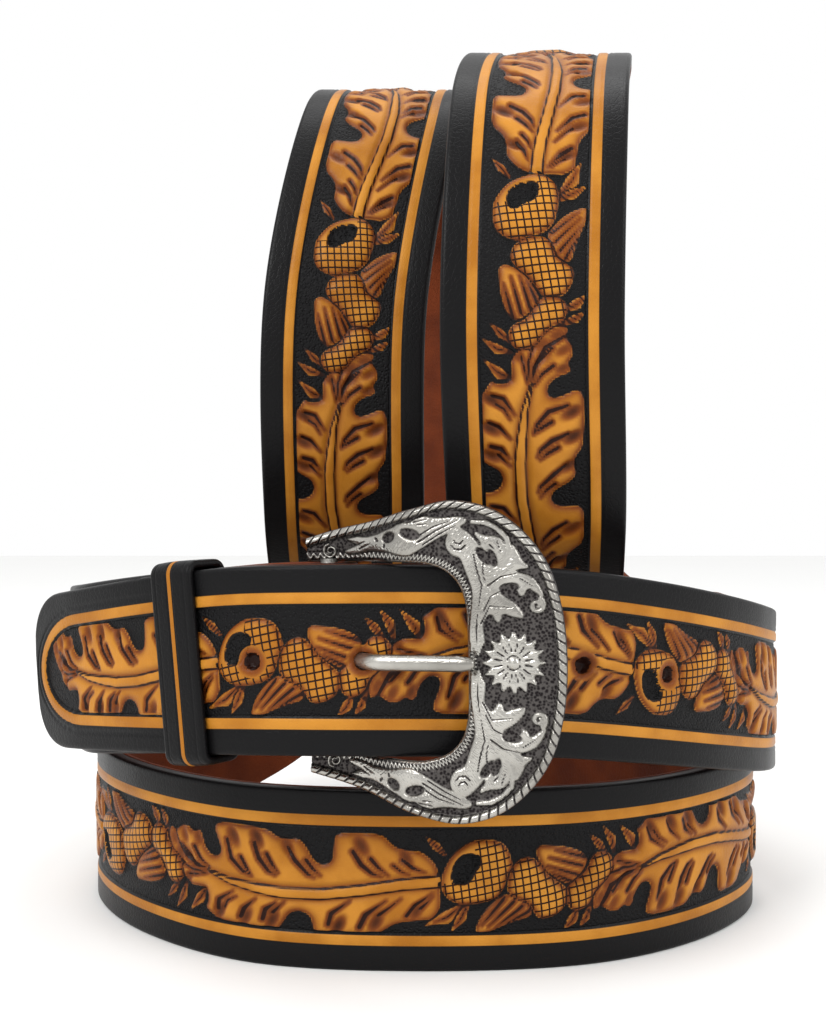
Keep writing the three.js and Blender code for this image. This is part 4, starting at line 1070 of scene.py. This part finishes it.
def keeperPath(half, deep):    # once round the strap: places and outward directions, as across and out
    corner = keeperSet["corner"]
    path = []
    for x, y, first in ((half, deep, 0), (-half, deep, 90), (-half, -deep, 180), (half, -deep, 270)):
        cx, cy = x - math.copysign(corner, x), y - math.copysign(corner, y)
        for k in range(9):
            angle = math.radians(first + 90 * k / 8)
            path.append((cx + corner * math.cos(angle), cy + corner * math.sin(angle),
                         math.cos(angle), math.sin(angle)))
        if first in (0, 180):    # along the front, then the back
            side = math.sin(math.radians(first + 90))
            for x in np.linspace(cx, -cx, 30)[1:-1]:
                path.append((x, cy + corner * side, 0, side))
    return np.array(path)


def keeperLoop():
    place, forward, up, out = tipRoute.axesAt(keeperSet["at"])
    half = float(halfWidth(np.array([float(strap["barAlong"])]))[0]) + keeperSet["clear"]
    front, back = outerFace + keeperSet["clear"], layerPitch + innerFace + keeperSet["clear"]
    middle = (front - back) / 2
    path = keeperPath(half, (front + back) / 2)
    wide, line, rounding = keeperSet["wide"] / 2, keeperSet["line"] / 2, keeperSet["round"]
    top = np.linspace(-wide, wide, 61)
    fall = np.clip(np.abs(top) - (wide - rounding), 0, rounding)
    rise = keeperSet["thick"] - rounding + np.sqrt(rounding ** 2 - fall ** 2)
    rise -= keeperSet["hollow"] * (top / wide) ** 2
    rise -= keeperSet["groove"] * smooth(0.28, 0.0, np.abs(np.abs(top) - line - 0.14))
    rise -= keeperSet["creaseDeep"] * smooth(0.22, 0.0, np.abs(np.abs(top) - wide + keeperSet["creaseIn"]))
    low = np.linspace(wide - 0.05, -wide + 0.05, 7)
    x = np.concatenate([top, low])
    y = np.concatenate([rise, np.zeros(len(low))])
    points = (place + up * (path[:, 0:1, None] + path[:, 2:3, None] * y[None, :, None])
              + out * (middle + path[:, 1:2, None] + path[:, 3:4, None] * y[None, :, None])
              + forward * x[None, :, None])
    onLine = np.concatenate([smooth(line + 0.12, line - 0.12, np.abs(top)), np.zeros(len(low))])
    return bodyFromRings("keeper_loop", points, {"line": np.tile(onLine, (len(path), 1))}, closed=True)


def blackLeather():
    material, tree, shader = newMaterial("black leather")
    height, stain = useGrain(tree, leatherLook["grain"])
    line = ramp(tree, attribute(tree, "line"), 0.3, 0.7)
    wire(tree, mixColour(tree, line, leatherLook["black"], leatherLook["tan"]), shader.inputs["Base Color"])
    rough = maths(tree, "MULTIPLY_ADD", stain, leatherLook["stainRough"], keeperSet["rough"])
    wire(tree, rough, shader.inputs["Roughness"])
    bumpInto(tree, shader, height, keeperSet["bump"], keeperSet["bumpStrength"])
    shader.inputs["Specular IOR Level"].default_value = leatherLook["specular"]
    return material


castSilver = silver("antique silver", 0.24, True)
prongSilver = silver("worn silver", 0.28, False)
for piece, material, nodeName, slotName in (
        (castFrame(), castSilver, "buckle_frame", "antique_silver"),
        (barRod(), castSilver, "buckle_frame", "antique_silver"),
        (prongShank(), prongSilver, "prong", "antique_silver"),
        (prongLoop(), prongSilver, "prong", "antique_silver"),
        (keeperLoop(), blackLeather(), "keeper", "black_leather")):
    piece.data.materials.append(material)
    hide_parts(nodeName)
    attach(piece, "root")
for name in ("rivet_upper", "rivet_lower"):
    rivet = bpy.data.objects[name]
    rivet.data.materials.clear()
    rivet.data.materials.append(prongSilver)
print("buckle and keeper made")

stageSet = {
    "floor": 3.0, "floorColour": (0.88, 0.88, 0.87, 1), "floorRough": 0.8,
    "world": 1.0, "lookAt": (0, 0, 0.09),
    # soft boxes: place, size and power
    "lamps": [((-0.5, -0.7, 0.75), 0.45, 5.5), ((0.7, -0.5, 0.5), 0.4, 2.2), ((0.0, 0.1, 0.95), 0.5, 2.5)],
}


def addStage():
    bpy.ops.mesh.primitive_plane_add(size=stageSet["floor"], location=(0, 0, 0))
    floor = bpy.context.object
    floor.name = "floor"
    material, tree, shader = newMaterial("pale floor")
    shader.inputs["Base Color"].default_value = stageSet["floorColour"]
    shader.inputs["Roughness"].default_value = stageSet["floorRough"]
    floor.data.materials.append(material)
    world = bpy.data.worlds.new("soft light")
    world.use_nodes = True
    background = world.node_tree.nodes["Background"]
    background.inputs["Color"].default_value = (1, 1, 1, 1)
    background.inputs["Strength"].default_value = stageSet["world"]
    bpy.context.scene.world = world
    for place, size, power in stageSet["lamps"]:
        data = bpy.data.lights.new("soft box", "AREA")
        data.size = size
        data.energy = power
        lamp = bpy.data.objects.new("soft box", data)
        lamp.location = place
        towards = Vector(stageSet["lookAt"]) - Vector(place)
        lamp.rotation_euler = towards.to_track_quat("-Z", "Y").to_euler()
        bpy.context.scene.collection.objects.link(lamp)
    bpy.context.scene.view_settings.view_transform = "Standard"


addStage()
